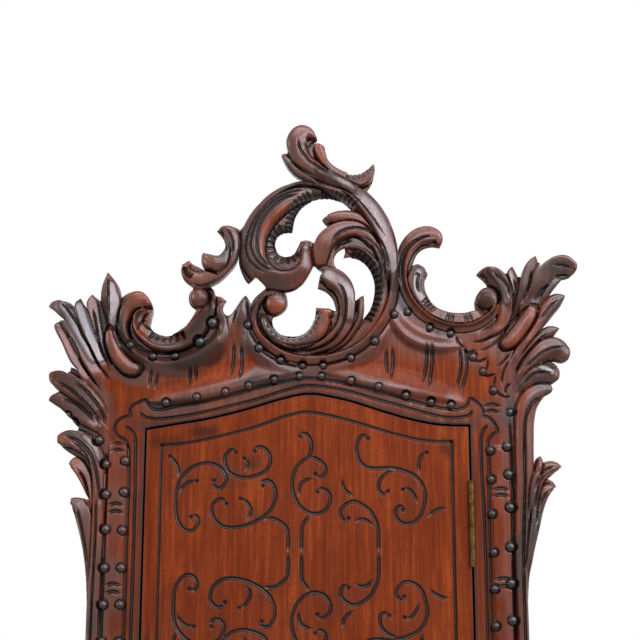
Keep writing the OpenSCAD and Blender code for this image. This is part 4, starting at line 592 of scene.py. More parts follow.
# Half width and depth of the cut, how long its ends taper, and the line
crestLines = [
    (1.3, 2.2, 9, [(4, 184), (-12, 182), (-26, 176), (-39, 166), (-50, 152.5), (-57.5, 137), (-60.5, 121),
        (-57.5, 108), (-50, 99.5), (-42, 94)]),
    (1.3, 2.2, 9, [(-4, 178.5), (-18, 175.5), (-32, 167.5), (-44, 155.5), (-52, 141), (-55.5, 127), (-54, 114.5),
        (-48.5, 105), (-41, 99), (-33, 95.5)]),
    (1.6, 2.6, 10, [(-9, 174), (-22, 169.5), (-34, 160.5), (-43.5, 148.5), (-48.8, 135), (-49.5, 121),
        (-46.5, 110.5), (-40, 102.5), (-31, 98), (-21, 96.5), (-12, 99), (-7, 104)]),
    (0.8, 2, 14, [(21.5, 183.5), (36, 177.5), (48, 167.5), (58.5, 155), (68, 141), (74.5, 130)]),
    (1.6, 2.8, 8, [(-10, 230), (-9, 222), (-6, 216), (-2, 211), (2, 206), (8, 202), (13, 198.5), (20, 194)]),
    (1.5, 2.4, 6, [(6, 218), (8, 212), (12, 206), (16, 202), (21, 197), (29, 191.5)]),
    (1.4, 2, 8, [(-19, 208), (-12, 203), (-4, 197), (6, 191.5)]),
    (1.6, 3, 4, [(8.5, 230.5), (3, 227.5), (0, 223.5)]),
    (1.7, 3, 10, [(22.5, 119), (25, 126), (28, 131), (34, 135.5), (42, 138.5), (50, 139), (60, 136), (67, 129),
        (73, 119), (76.5, 107), (78, 95)]),
    (2.2, 3, 5, [(25, 118), (29, 124), (36, 127.2), (42, 128)]),
    (1.2, 1.6, 10, [(46, 131), (56, 129), (65, 122), (71, 111), (74, 98)]),
    (1.3, 2, 8, [(34, 121), (42, 118.5), (50, 117), (58, 111), (65, 102), (69, 92), (71, 80)]),
    (1.5, 2.8, 6, [(28, 83), (32, 80.5), (35, 74), (36.5, 66), (36.5, 58), (35, 48), (31, 38), (25, 30.5),
        (17, 24.5), (8, 21), (-4, 18.5)]),
    (1.3, 2.4, 6, [(48, 62), (47, 52), (44, 44), (38, 34), (31, 26), (22, 20), (10, 16.5), (0, 15.2)]),
    (1.2, 2.2, 6, [(22.5, 49), (22, 43), (20, 37), (15, 31), (8, 27), (-2, 24.5), (-14, 23), (-24, 25)]),
    (1.2, 2, 6, [(29, 38), (24, 29), (15, 23.5), (5, 20.5), (-8, 19), (-20, 20.5), (-31, 26)]),
    (1.4, 2.4, 8, [(-82, 138.5), (-78, 136), (-75, 131), (-73, 125), (-72.5, 117), (-74.5, 110)]),
    (2, 3.4, 4, [(-100, 98), (-94, 96.5), (-88, 94), (-83, 95)]),
    (1.3, 2, 6, [(-113, 84), (-104, 81.5), (-94, 84), (-86, 89)]),
    (1.5, 2.8, 3, [(-149.5, 60.5), (-158, 60), (-165, 57.5), (-170, 51), (-172.5, 44), (-171.5, 36), (-168.5, 30),
        (-163, 24), (-156, 19.5), (-148, 17.2), (-140, 16.5), (-130, 17.2), (-118, 20.5), (-108, 26), (-99, 35),
        (-95, 46), (-91, 60), (-89, 70)]),
    (1.2, 2.4, 4, [(-154, 47), (-159, 47), (-162, 43), (-162.5, 37)]),
    (1.4, 2.2, 8, [(-171, 69), (-177, 65), (-181, 58), (-182, 49), (-180, 40)]),
    (1.4, 2.8, 6, [(-237.5, 64.5), (-232.5, 60.5), (-226.5, 53), (-219.5, 43), (-215, 33.5), (-209, 24),
        (-203.5, 13), (-198, 3.5), (-192.5, -4), (-189, -9)]),
    (1.5, 2.8, 6, [(-231.5, 38.5), (-228.5, 32.5), (-224, 27), (-219.5, 18.5), (-215, 7), (-209.5, -1.5),
        (-203.5, -10), (-199, -16.5)]),
    (1.3, 2.6, 6, [(-206.5, 58.5), (-204, 50), (-201.5, 38), (-200, 29.5), (-197.5, 20.5), (-195, 14.5),
        (-191.5, 8)]),
    (1.3, 2.4, 8, [(-192.5, 90), (-191.5, 71.5), (-190.5, 55.5), (-189, 51)]),
    (1.4, 2.8, 3, [(-186.5, 40), (-189.5, 42.5), (-192.5, 41.5), (-194.5, 37), (-194.5, 27), (-191, 16.5),
        (-186.5, 8), (-181, 1.5), (-175.5, -3.5), (-169, -6), (-163, -5), (-158.5, -0.5), (-157.5, 3.5), (-160, 7)]),
    (1.2, 2.4, 5, [(-187.5, 41), (-183, 29.5), (-177.5, 19.5), (-172, 13), (-165.5, 8), (-160, 4.5)]),
    (1.7, 2.8, 7, [(-238, -12), (-229, -16), (-222, -21), (-215, -27), (-208, -34), (-202, -41), (-197.5, -48),
        (-195.5, -53)]),
    (1.5, 2.6, 6, [(-231, -28), (-220, -32), (-213, -37), (-206, -43), (-201, -50)]),
    (1.6, 2.6, 7, [(-221, -12), (-212, -18), (-205, -25), (-198, -34), (-193.5, -43), (-192, -51)]),
    (2.3, 3.6, 12, [(118.5, 131.5), (110.5, 129), (102, 124.5), (95, 117), (91, 106), (90, 94), (91.5, 83)]),
    (1.2, 1.8, 7, [(121, 131), (112, 131), (104, 127.5)]),
    (1.4, 2.4, 5, [(103.5, 91), (105, 93.5), (107, 92), (105.5, 86), (105.5, 80), (107.5, 74.5)]),
    (1.5, 2.6, 6, [(178.5, 95), (186.5, 87), (192, 79.5), (193.5, 69.5)]),
    (1.3, 2.4, 5, [(198.5, 88), (200.5, 78.5), (199, 67.5), (195.5, 55.5)]),
    (1.4, 2.4, 6, [(216, 96), (213.5, 84), (209.5, 74), (205, 64)]),
    (1.4, 2.6, 5, [(237.5, 101.5), (246.5, 102), (254.5, 98.5)]),
    (1.5, 2.8, 6, [(235, 85), (227, 78.5), (221.5, 72), (218, 65.5)]),
    (1.3, 2.2, 6, [(239.5, 66.5), (233, 62), (227, 54.5), (220.5, 47)]),
    (1.4, 2.8, 4, [(212.5, 63), (216, 64), (220, 63), (221.5, 57.5), (218.5, 49), (211.5, 38), (205, 29.5),
        (198.5, 23), (193, 20), (187, 20), (183.5, 24), (184, 29.5), (187.5, 36), (195, 46), (204, 55.5),
        (212.5, 63)]),
    (1.5, 2.8, 5, [(228.5, 34), (222, 29.5), (213.5, 21), (205.5, 11.5), (200, 1.5), (198.5, -2.5)]),
    (1.3, 2.2, 6, [(243, 22), (234.5, 21), (223.5, 16.5), (214, 9), (205, 1.5)]),
    (1.4, 2.4, 6, [(231.5, -3.5), (224, -2.5), (215.5, -3.5), (209, -8), (203.5, -15.5)]),
    (1.3, 2.4, 5, [(194, 17), (187, 9), (181, 3)]),
    (1.3, 2.4, 5, [(193, 10), (188, 2), (185.5, -7), (185, -14)]),
    (1.7, 3.2, 8, [(224, -26), (214, -30), (207.5, -39), (204, -52), (203, -75), (202.5, -105), (200.5, -140),
        (199, -175), (198.5, -215), (198.5, -300), (198.5, -386)]),
    (1.4, 2.4, 4, [(142, 34), (145, 27), (151, 21)]),
    (1.4, 2.2, 5, [(158, 27.5), (169, 29.5), (180, 35.5)]),
    (1.3, 2, 5, [(165, 19), (176, 24), (184, 31)]),
    (1.4, 2.6, 3, [(149, 21.5), (154, 17.5), (161, 20)]),
    (1.4, 2.6, 3, [(158, 10.5), (164, 9), (172, 12.5)]),
    (1.4, 2.6, 3, [(166, -3.5), (172, -5), (179.5, -3)]),
    (1.4, 2.6, 3, [(177, -15), (179.5, -20), (186, -24.5), (193, -25)]),
    (1.3, 2.4, 3, [(188.5, -23), (189, -16), (194, -12)]),
    (1.2, 2.2, 3, [(160, 20), (161.5, 14), (158, 10.5)]),
    (1.2, 2.2, 3, [(172, 12), (171.5, 4), (168, -2)]),
    (1.2, 2.2, 3, [(179, -4), (178, -11), (177, -15)])]
putAll(carveLine, crestLines)

# Fluted edges: the cuts' length, spacing, half width, depth and side, and the line they start from
crestFlutes = [
    (6.6, 4.4, 1.5, 2, -1, [(4, 170.5), (-7, 163), (-13.5, 152), (-16, 138.5), (-24, 137.5), (-31, 133),
        (-33.3, 125), (-31, 117), (-25, 112.8), (-17, 113.2), (-11, 118.5)]),
    (7, 4.4, 1.5, 2, -1, [(43.5, 158), (37.5, 163.5), (29, 167.5), (17, 169.5), (4, 170.5)]),
    (5.5, 5.2, 1.6, 2.2, 1, [(41, 112.5), (53, 108), (61, 98.8), (65, 86), (64.6, 73), (60.6, 60), (55, 50)]),
    (4.6, 4.8, 1.5, 2, 1, [(7.5, 58), (5, 49), (-0.5, 39.2), (-8, 34), (-17, 33), (-26, 35.2), (-33, 41.4),
        (-35, 48)]),
    (7, 5.6, 1.5, 2.6, 1, [(-118.5, 38), (-124, 35.5), (-130.5, 34), (-137.5, 34), (-144, 35.5), (-149, 38)]),
    (7, 4.4, 1.4, 2, 1, [(62, 204.5), (54, 199.5), (44, 196.8), (38, 197.5)]),
    (5, 3.6, 1.2, 1.8, 1, [(-121, 100), (-119, 94), (-113, 88)])]
for length, spacing, wide, deep, side, points in crestFlutes:
    slopeDown(points, length, side)
putAll(carveFlutes, crestFlutes)

# Paired cuts across the pads and the leaves' edges, drawn a fifth longer at both ends
tick = {"over": 0.2, "cut": (1.8, 2.6, 6)}
crestTicks = [
    [(-149.5, 0), (-151, -14)], [(-143.5, -3), (-145, -16)], [(-112, 2), (-112.5, -12)], [(-107, 3), (-106.5, -9)],
    [(-71, 22), (-71.5, 10), (-73, -1)], [(-64.5, 20), (-63, 8), (-65, -4)], [(75.5, 18), (75, 8), (76, 0)],
    [(80.5, 19), (81.5, 8), (79, -4)], [(113, 22), (113.5, 8), (110, -6)], [(118, 22), (119, 8), (116, -9)],
    [(145, 16), (146, 2), (142, -12)], [(150.5, 17), (152, 2), (147, -14)], [(117.5, 70.5), (109, 65)],
    [(119.5, 67.5), (111, 61.5)], [(122, 64.5), (113.5, 58.5)], [(125, 62), (116, 55.5)], [(135.5, 55.5), (132, 45)],
    [(139.5, 54.5), (137, 45)], [(150.5, 54.5), (152.5, 45)], [(155, 55.5), (157, 46)]
]
for (x0, z0), *between, (x1, z1) in crestTicks:
    start = (x0 + tick["over"] * (x0 - x1), z0 + tick["over"] * (z0 - z1))
    end = (x1 + tick["over"] * (x1 - x0), z1 + tick["over"] * (z1 - z0))
    carveLine([start] + between + [end], *tick["cut"])

# The two moulded lines round the door opening, with the cloud shaped corners; the lower ones are on both halves
moulding = (1.7, 2.4, 2)
mouldings = [
    [(-168, -300), (-168, -150), (-168, -100), (-168.5, -78), (-170, -71), (-173, -66), (-178, -63.5), (-182, -59),
        (-182.5, -53), (-179, -47), (-173, -44), (-168, -43.5), (-169, -40), (-167, -34), (-160, -30), (-154, -28.5),
        (-150, -34), (-145, -37), (-138, -37), (-125, -34), (-100, -30), (-75, -24), (-50, -17), (-25, -11),
        (-5, -7.5), (10, -8), (35, -12), (60, -18), (85, -25), (110, -32), (128, -36), (142, -37), (150, -34),
        (154.5, -27), (160, -30), (165, -35), (166.5, -40), (166, -44), (170, -44), (175, -48), (178.5, -54),
        (179.5, -58), (175, -61), (171, -66), (170, -72), (170, -100), (169.5, -150), (169, -300)],
    [(-161.5, -300), (-161.5, -150), (-162, -100), (-162.5, -70), (-164, -62), (-168, -56), (-173, -53.5)],
    [(-159, -40), (-155, -44), (-145, -46), (-130, -45), (-105, -41), (-75, -34), (-50, -28), (-25, -20), (-5, -15),
        (10, -15), (35, -19), (60, -26), (85, -33), (110, -40), (130, -44.5), (145, -44.5), (154, -42), (156, -38)],
    [(170.5, -52), (166, -57), (164, -64), (163.5, -75), (164, -110), (165, -150), (165, -300)]]
lowMouldings = [
    [(-168, -300), (-168, -501), (-168.5, -523), (-170, -530), (-173, -535), (-178, -537.5), (-182, -542),
        (-182.5, -548), (-179, -554), (-173, -557), (-168, -557.5), (-169, -561), (-167, -567), (-160, -571),
        (-154, -572), (-149, -566), (-142, -562), (-130, -560), (0, -560)],
    [(-161.5, -300), (-162, -500), (-162.5, -531), (-164, -539), (-168, -545), (-173, -547.5)],
    [(-159, -561), (-154, -556), (-145, -553.5), (-100, -553), (0, -553)]]
for points in mouldings:
    carveLine(points, *moulding)
for points in lowMouldings:
    carveLine(points, *moulding)
    carveLine(flipped(points), *moulding)

# Beads along the moulded lines and the scrolls, and three small leaves between them
beads = [(-134, -31, 3.2), (-105, -26, 3.2), (-78, -21, 3.2), (-56, -15, 3.2), (-32, -9, 3.2), (-8, -5.5, 3.2),
    (13, -5.5, 3.2), (41, -10, 3.2), (67, -16, 3.2), (93, -24, 3.2), (117, -30, 3.2), (136, -33, 3.2), (83, 54, 3.2),
    (64, 27.5, 3.6), (41, 11.5, 3.2), (14.5, 4.8, 3), (-5, 4.8, 3), (-26, 10, 3.2), (-46.5, 21, 3.4),
    (-57.5, 43.5, 3.2), (-170, 24, 3.4), (-148, 13.5, 3.4), (-127, 13.8, 3.4), (-103.8, 27.5, 4.6), (-91.7, 46, 4.6),
    (96, 57, 3.2), (117, 41.5, 3.2), (137, 36, 3.2), (158, 13, 3.4), (167, -1, 3.4), (176.5, -19, 3.6),
    (-226, -43.5, 3), (-220.5, -50, 3.4), (192, -40, 3.4)]
for x, z, radius in beads:
    addBead(x, z, radius * bead["frameSize"])
for points in ([(-54.5, 38), (-48.5, 28)], [(-41, 17.5), (-32, 12.5)], [(-18, 7.5), (-11, 5.6)]):
    addForm([(x, z, 1.4, 3.5) for x, z in points], "round", (0, 0))

stileLines = [
    (1.5, 2.6, 7, [(-228, -63), (-217, -66.5), (-208.5, -73), (-202, -82), (-198, -93), (-195, -108), (-193, -125)]),
    (1.2, 2.2, 7, [(-222, -68), (-214, -73), (-207, -81), (-203, -90)]),
    (1.4, 2.4, 7, [(-216, -93), (-209.5, -101), (-205, -113), (-202.5, -128)]),
    (1.2, 2.2, 7, [(-212, -97), (-207, -108), (-204.5, -120)]),
    (1.4, 2.4, 7, [(-214, -129), (-210, -142), (-206, -160), (-202, -185)]),
    (1.2, 2.2, 7, [(-217, -128), (-213.5, -142), (-209.5, -158)]),
    (1.2, 2.2, 10, [(-196.5, -120), (-196, -160), (-197, -215), (-197.5, -300), (-198, -386)]),
    (1.4, 2.4, 4, [(-189.7, -78), (-189.7, -110), (-189, -150), (-189, -215), (-189.5, -300), (-189.5, -500),
        (-191, -530)]),
    (1.4, 2.4, 4, [(191.5, -50), (192, -70), (192.2, -100), (191.5, -135), (190.5, -170), (190, -215), (190, -500),
        (191.5, -530)]),
    (1.4, 2.4, 7, [(232, -91), (222, -94.5), (215.5, -102), (211.5, -114)]),
    (1.2, 2.2, 7, [(224, -97.5), (217.5, -104), (213.5, -116), (211, -130)]),
    (1.4, 2.4, 7, [(226, -112.5), (219, -120), (214.5, -132), (211, -148)]),
    (1.2, 2, 7, [(218, -127), (214.5, -140), (211.5, -155)])]
putAll(carveLine, stileLines)
footLines = [
    (1.4, 2.4, 7, [(200, 130), (204.5, 98), (211, 80), (217, 70)]),
    (1.4, 2.4, 7, [(198.5, 80), (205, 50), (213, 32), (219, 23)]),
    (1.4, 2.4, 7, [(198, 40), (203.5, 18), (209, 0)])]
putAll(carveLine, footLines, joint["sill"])
stileTicks = [(-179, -70, 5), (-179, -76, 5), (-179.5, -126, 6.5), (-179.5, -133, 6.5), (175, -33, 7),
    (174.5, -39, 6), (180.5, -112, 6.5), (180.5, -118, 6.5)]
stileBeads = [(-171.5, -86, 3.6), (-171.5, -115, 3.6), (-172, -150, 3.6), (-189.5, -89, 3.4), (-188.5, -117, 3.6),
    (-187.5, -149, 3.6), (-197, -66.5, 3.6), (172, -76, 3.4), (172, -103, 3.4), (172, -135, 3.4), (188, -72, 3.8),
    (188.5, -98.5, 3.8), (189, -129, 3.8)]
# Below the photo's edge the beads and the paired cuts go on at the same distances
for down in range(-184, -500, -33):
    stileBeads += [(-172, down, 3.6), (-187.5, down, 3.6), (172.5, down + 14, 3.4), (188, down + 19, 3.8)]
for down in (-199, -265, -331, -397, -463):
    stileTicks += [(-179.5, down, 6.5), (-179.5, down - 7, 6.5), (180.5, down + 5, 6.5), (180.5, down - 2, 6.5)]
bow = {"over": 1.5, "ends": 1.4, "middle": 0.8, "cut": (1.8, 2.6, 4)}
for x, z, reach in stileTicks:
    ends = [(x + way * (reach + bow["over"]), z - bow["ends"]) for way in (-1, 1)]
    carveLine([ends[0], (x, z + bow["middle"]), ends[1]], *bow["cut"])
for x, z, radius in stileBeads:
    addBead(x, z, radius * bead["stileSize"])
halfApronLines = [
    (1.4, 2.6, 7, [(11, 70), (9.5, 50), (5, 28), (1, 12)]),
    (1.3, 2.4, 7, [(43, 66), (38, 48), (31, 34), (24, 25)]),
    (1.3, 2.2, 6, [(77, 58), (72, 44), (65, 42)]),
    (1.4, 2.4, 7, [(138, 66), (120, 60), (104, 60), (90, 65)]),
    (1.3, 2.4, 6, [(196, 50), (184, 52), (172, 46), (160, 48), (150, 56), (145, 68), (150, 80)]),
    (1.3, 2.4, 6, [(167, 68), (160, 66), (156, 71)]),
    (1.4, 2.4, 7, [(200, 84), (210, 70), (215, 54), (216, 44)]),
    (1.4, 2.4, 7, [(217, 92), (226, 80), (233, 68)])]
putAll(carveLine, halfApronLines, apronFloor)
apronBeads = {"first": -132, "last": 132, "apart": 24, "z": -565.5, "radius": 3.2}
for x in range(apronBeads["first"], apronBeads["last"] + 1, apronBeads["apart"]):
    addBead(x, apronBeads["z"], apronBeads["radius"])

# Where years of polish have worn the stain back, or left it thick, and a few strokes of painted shade: how much darker,
# half width and line. From 1.1 up the polish lies so thick that it shines grey.
tints = [
    (-1, 9, [(-7, 175.5), (-17.7, 160.2), (-28.3, 148.1), (-38.9, 135), (-44.6, 121)]),
    (-0.9, 6, [(8.6, 222.7), (11.6, 210.3), (18.5, 193.9), (27.3, 181.6)]),
    (-0.6, 8, [(-107.6, 69.4), (-99.8, 64.5)]),
    (-0.9, 9, [(-36.4, 61.6), (-26.8, 57.7)]),
    (-0.8, 4, [(-52.6, 53.8), (-47.6, 36.2), (-36, 20.7), (-7.4, 9.2), (21.1, 11.1), (49.8, 28.5), (69.1, 51.8),
        (77, 77.3)]),
    (-0.7, 7, [(-172.4, 55.7), (-169, 38.2), (-155.2, 22.7), (-136, 16.9)]),
    (-1.1, 6, [(-188.1, 38.2), (-181.7, 18.8), (-168.8, 1.5)]),
    (-0.9, 12, [(-193.5, 3.4), (-183.6, -10), (-177.2, -29)]),
    (-0.7, 5, [(-236, 40.1), (-230.7, 28.5), (-222.5, 15)]),
    (-0.5, 5, [(-211.2, 65.5), (-205.7, 47.9), (-198, 20.7)]),
    (-0.7, 6, [(-230.4, -64.8), (-220.7, -72.3), (-212.3, -94.6)]),
    (-0.6, 6, [(-219.9, -90.9), (-208, -109.3), (-199.7, -131.3)]),
    (-1, 8, [(212.9, 55.7), (202.8, 40.1), (192.7, 24.6)]),
    (-0.8, 6, [(230.6, 67.5), (222.3, 51.8), (212.1, 32.4)]),
    (-0.8, 4, [(97.8, 117), (94.6, 97.1), (101.9, 67.5), (116.9, 49.9)]),
    (-0.7, 5, [(182.6, 67.5), (185.9, 49.9), (183.4, 32.4)]),
    (-0.6, 4, [(199.7, -23.3), (197.6, -57.3), (195.1, -103.8), (193.5, -149.5)]),
    (-0.8, 6, [(13.5, 57.7), (21.2, 47.9), (13.5, 36.2)]),
    (-1, 15, [(125.6, 3.4), (146.3, -4.2), (166.9, -13.8)]),
    (-0.6, 9, [(68.6, 3.4), (87.5, -0.4), (106.4, -6.1)]),
    (-0.7, 9, [(-149.7, -0.4), (-111.6, -6.1), (-71.9, -2.3)]),
    (-0.6, 10, [(-72.3, 23.6), (-77.7, 7.3)]),
    (-0.5, 7, [(43, 198), (31.3, 208.3)]),
    (-0.5, 7, [(-139.5, -21.5), (-111.5, -13), (-83, -5), (-59.5, 1.5)]),
    # Painted shade: the ring's left band, which faces away from the lamps, and the band under the left C scroll
    (0.6, 8, [(-59.6, 75.3), (-61.9, 105), (-54.5, 135), (-39.2, 159.2), (-15.8, 175.5), (9.6, 183.6)]),
    (0.5, 9, [(-140.7, 16.9), (-116.7, 9.2), (-93.1, 16.9), (-78.1, 32.4)]),
    (0.5, 10, [(-49.1, -6.1), (-16.8, -10), (21.1, -6.1)]),
    (0.6, 12, [(21.1, 18.8), (40.2, 16.9), (59.3, 28.5)]),
    (-0.7, 13, [(-180, -62), (-180, -150), (-179, -540)]),
    (-0.7, 13, [(182, -62), (181, -150), (180, -540)]),
    (-0.5, 6, [(-165, -60), (-165, -540)]),
    (-0.5, 6, [(167, -60), (167, -540)]),
    (0.4, 12, [(-148.4, -47.9), (-110.9, -38.5), (-63.9, -29)]),
    (0.9, 11, [(-236, -6), (-222, -14), (-205, -33)]),
    (0.8, 9, [(-244, -28), (-228, -36), (-210, -46)]),
    (0.45, 9, [(240, 97), (228, 88), (220, 76)]),
    (0.6, 8, [(216, 104), (208, 82), (196, 60)]),
    (0.6, 8, [(247, 24), (232, 14), (214, -6)]),
    (0.9, 8, [(-186, 66), (-183, 46), (-176, 30), (-160, 14)]),
    (-0.8, 8, [(-168, 70), (-160, 66)]),
    (0.5, 7, [(-196, 92), (-192, 66), (-190, 48)]),
    (1.1, 8, [(-98, 75.5), (-97.5, 57.5), (-106, 42), (-116.5, 30.5)]),
    (-0.8, 9, [(-147, -25), (-111.5, -15.5), (-75.5, -2.5), (-55, 9)]),
    (-0.8, 9, [(42, 3.5), (87.5, -10), (125, -23.5)]),
    (0.6, 6, [(209, 59.5), (191, 34.5)]),
    (-0.7, 6, [(-141, -39.5), (-101.5, -33), (-64, -25), (-34, -16.5)]),
    (-0.6, 6, [(35.5, -13), (87, -25), (126.5, -33.5)]),
    (0.6, 10, [(-140.5, 1.5), (-112, 3.5), (-88.5, 17)]),
    (0.5, 12, [(-121, -6), (-88, -2.5), (-68.5, 23.5)]),
    (2, 9, [(49, 171.5), (60.5, 159), (70, 143), (77.5, 123), (80.5, 105)]),
    (2, 7, [(13.5, 197), (25.5, 189), (39, 181.5)]),
    (-0.9, 5, [(210.5, -17.5), (201, -33.5), (196.5, -57.5), (193.5, -94.5), (191, -149.5)]),
    (-0.5, 6, [(220.5, -21.5), (209, -48), (206.5, -76), (203.5, -122)]),
    (2, 6, [(107, 95), (104, 79.5), (111.5, 65.5)]),
    (2, 4, [(-189, 83), (-185.5, 67.5), (-186.5, 46)]),
    (2, 7, [(-234, 63.5), (-222, 43), (-202.5, 11)]),
    (2, 6, [(-219.5, 61.5), (-210, 38), (-195.5, 11)]),
    (2, 5, [(177.5, 97), (188, 82), (191, 67.5)]),
    (2, 4, [(196, 95), (198.5, 77.5)]),
    (2, 9, [(19.5, 92), (33, 83), (40.5, 69.5), (40.5, 54)]),
    (2, 4, [(-150.5, 29.5), (-141, 26.5), (-129.5, 27.5)]),
    (2, 5, [(-48, 59.5), (-44, 46), (-34, 34.5)]),
    (2, 4, [(-39, 129), (-36, 117), (-27, 110)]),
    (2, 3, [(-91.5, 81), (-91, 62.5)]),
    (2, 4, [(-2, 129), (-2, 119)]),
    (2, 3, [(-210, -63), (-200, -72.5), (-194, -85.5)]),
    (2, 4, [(221.5, 4.5), (231.5, -2.5)]),
    (0.9, 10, [(172, 71.5), (169, 65.5)]),
    (1, 7, [(-9, 164), (-16, 153), (-18.5, 141), (-25, 140), (-33, 134.5), (-36, 125), (-33, 115), (-26, 110),
        (-17, 110.5)]),
    (0.8, 6, [(40, 165), (28, 171), (14, 172.5), (0, 170)]),
    (0.9, 6, [(46, 113), (54.5, 108.5), (62.5, 99), (67, 86), (67, 73), (63, 60), (57, 50)]),
    (1.3, 7, [(80, 97), (80, 81)]),
    (-0.6, 5, [(-29, 160), (-40, 147), (-43, 133), (-41, 121)]),
    (0.8, 6, [(93, 129), (89, 111)]),
    (-0.9, 6, [(-154, 54), (-158.5, 42), (-154.5, 34.5)]),
    (-0.7, 5, [(-158.5, 71.5), (-151.5, 63.5)])]
# Darker patches: those under the door's top edge and along its sides and foot are stain and painted shade, the rest
# stain
patches = [(-132, -68, 18, 9, 0.9), (-100, -58, 22, 8, 0.7), (-62, -47, 16, 6, 0.5), (-128, -112, 10, 14, 0.4),
    (-52, -88, 8, 8, 0.4), (2, -96, 10, 12, 0.35), (30, -44, 18, 6, 0.4), (128, -75, 14, 10, 0.5),
    (-146, -200, 5, 120, 0.6), (146, -220, 5, 120, 0.4), (-60, -180, 20, 40, 0.25), (70, -230, 26, 40, 0.25),
    (-100, -330, 26, 50, 0.3), (40, -420, 30, 50, 0.3), (-178, -110, 6, 26, 0.5), (-178, -190, 6, 30, 0.4),
    (-170, 4, 22, 12, 0.35), (-70, -12, 40, 7, 0.5), (80, -16, 30, 5, 0.2), (0, -534, 140, 9, 0.5)]
for patch in patches:
    addCloud(*patch)
putAll(addTint, tints)

# Door: an incised border and a field of incised scrolls, each ending in a small round eye
doorBorder = [
    [(-138, -71), (-125, -70.5), (-105, -67.5), (-80, -62), (-50, -54), (-25, -45), (-10, -41), (0, -40), (20, -43),
        (50, -51), (80, -60), (105, -66), (125, -68), (136, -67.5)],
    [(-138, -71), (-138, -300), (-138, -530)],
    [(136, -67.5), (136, -300), (136, -530)],
    [(-138, -530), (0, -530), (136, -530)]]
doorScrolls = [
    [(-130, -81.5), (-127, -84), (-123, -90), (-121, -97), (-121, -101)],
    [(-88, -104), (-88, -108), (-85, -111), (-80, -110), (-76.5, -105), (-77, -99), (-81, -93), (-88, -89),
        (-97, -88), (-107, -91), (-114, -96), (-120, -104), (-123, -115), (-123, -128), (-122, -138), (-118, -146),
        (-112, -150.5), (-106, -149.5), (-102, -144), (-102.5, -138.5), (-106, -136.5), (-109, -138)],
    [(-104, -104.5), (-111, -105.5), (-117, -110), (-120, -116)],
    [(-68, -78), (-70, -75.5), (-74, -76.5), (-78, -82), (-77.5, -89), (-74, -96), (-67, -100), (-59, -101.5),
        (-50, -100), (-41, -96), (-36, -90), (-35.5, -82), (-39, -75.5), (-45, -72.5), (-50, -75), (-50, -77)],
    [(-60, -83.5), (-56.5, -87), (-57, -92), (-60, -95.5)],
    [(-76, -126), (-79, -122), (-84, -122), (-89, -127), (-89, -135), (-85, -142), (-78, -146.5), (-68, -147.5),
        (-56, -145), (-45, -140), (-36, -133), (-31, -124), (-30, -115), (-33, -107), (-38, -104), (-43, -105.5),
        (-42, -109)],
    [(-63, -121), (-57, -124), (-53, -131), (-54, -137), (-57, -140)],
    [(-41, -140), (-33, -139), (-26, -142), (-20, -147), (-18, -155), (-18, -170.5)],
    [(-7.5, -63), (-6, -60), (-1, -61), (3, -67), (3.5, -75), (1, -82), (-5, -86), (-11, -93), (-14, -103),
        (-14, -113), (-11, -122), (-6, -129), (2, -134), (10, -134.5), (17, -131), (21, -124), (20.5, -117),
        (16, -112.5), (11, -112), (9, -115)],
    [(1, -82), (6, -83), (13, -87), (17, -93), (15.5, -99), (11, -101), (7, -98)],
    [(5, -103), (-1, -103.5), (-6, -107), (-8, -113), (-7.5, -119)],
    [(3, -136), (-2, -141), (-5, -147), (-5.5, -155), (-5.5, -170.5)],
    [(57, -65), (53, -62), (49, -64), (46.5, -71), (46.5, -79), (49, -86), (54, -91), (62, -93), (72, -92.5),
        (82, -93), (93, -96), (102, -101), (108, -109), (110, -118), (108.5, -128), (105, -137), (98, -143),
        (90, -144), (84, -140), (81.5, -134), (84, -129), (88, -128), (89, -131)],
    [(83, -95), (75, -97), (69, -102), (66.5, -108), (67, -114), (71, -116.5), (75, -114)],
    [(89, -112.5), (94, -112), (99, -117), (103, -125)],
    [(112, -78), (107, -81), (104.5, -88), (105, -98)],
    [(112, -138), (118, -133), (125, -130), (130, -130)],
    [(32, -102), (33, -109), (36, -114), (43, -118.5)],
    [(38, -139), (34, -141), (31, -137), (31, -131), (36, -126), (43, -123.5), (50, -126), (57, -131), (62, -138),
        (65, -146), (66, -155), (66, -170.5)],
    [(44, -143), (49, -140), (55, -141), (61, -146)]]
eyes = [(-130, -81.5), (-88, -104), (-109, -138), (-104, -104.5), (-68, -78), (-50, -77), (-60, -83.5), (-76, -126),
    (-42, -109), (-63, -121), (-7.5, -63), (9, -115), (7, -98), (57, -65), (89, -131), (75, -114), (89, -112.5),
    (112, -78), (38, -139)]
doorCut = {"scroll": (1.9, 2.1, 5), "eye": (2.1, 2.0, 0), "border": (1.6, 2.0, 0)}
for turn, shift in ((1, 0), (-1, -341), (1, -260), (-1, -601)):
    for points in doorScrolls:
        carveLine([(x, turn * z + shift) for x, z in points], *doorCut["scroll"])
    for x, z in eyes:
        carveLine([(x, turn * z + shift), (x + 0.1, turn * z + shift)], *doorCut["eye"])
for points in doorBorder:
    carveLine(points, *doorCut["border"])

# Edges: the sawn outlines are rounded over, and the edges round the door are eased
edge = {"round": 2.0, "eased": 1.0}
half, sill, crest = joint["half"], joint["sill"], joint["crest"]
topEdge = [tuple(p) for p in smoothLine(openingTop, relief["openingStep"])]
openingPoints = topEdge + [(half, sill), (-half, sill)]
crestPoints = outline(crestRuns)
leftPoints = outline(leftRuns) + lifted(outline([flipped(run) for run in footRuns]), sill)
rightPoints = outline(rightRuns) + lifted(outline(footRuns), sill)
apronHalf = lifted(outline(apronRuns), apronFloor)
apronPoints = apronHalf + [(0, apronFloor)] + flipped(apronHalf)[::-1]
gaps = [outline(gap) for gap in (gapOuter, gapRing, gapFlute, gapVolute)]
sawnEdges = [gap + gap[:1] for gap in gaps] + [crestPoints, leftPoints, rightPoints, apronPoints]
for points in sawnEdges:
    roundEdge(points, edge["round"])
roundEdge(openingPoints + openingPoints[:1], edge["eased"])

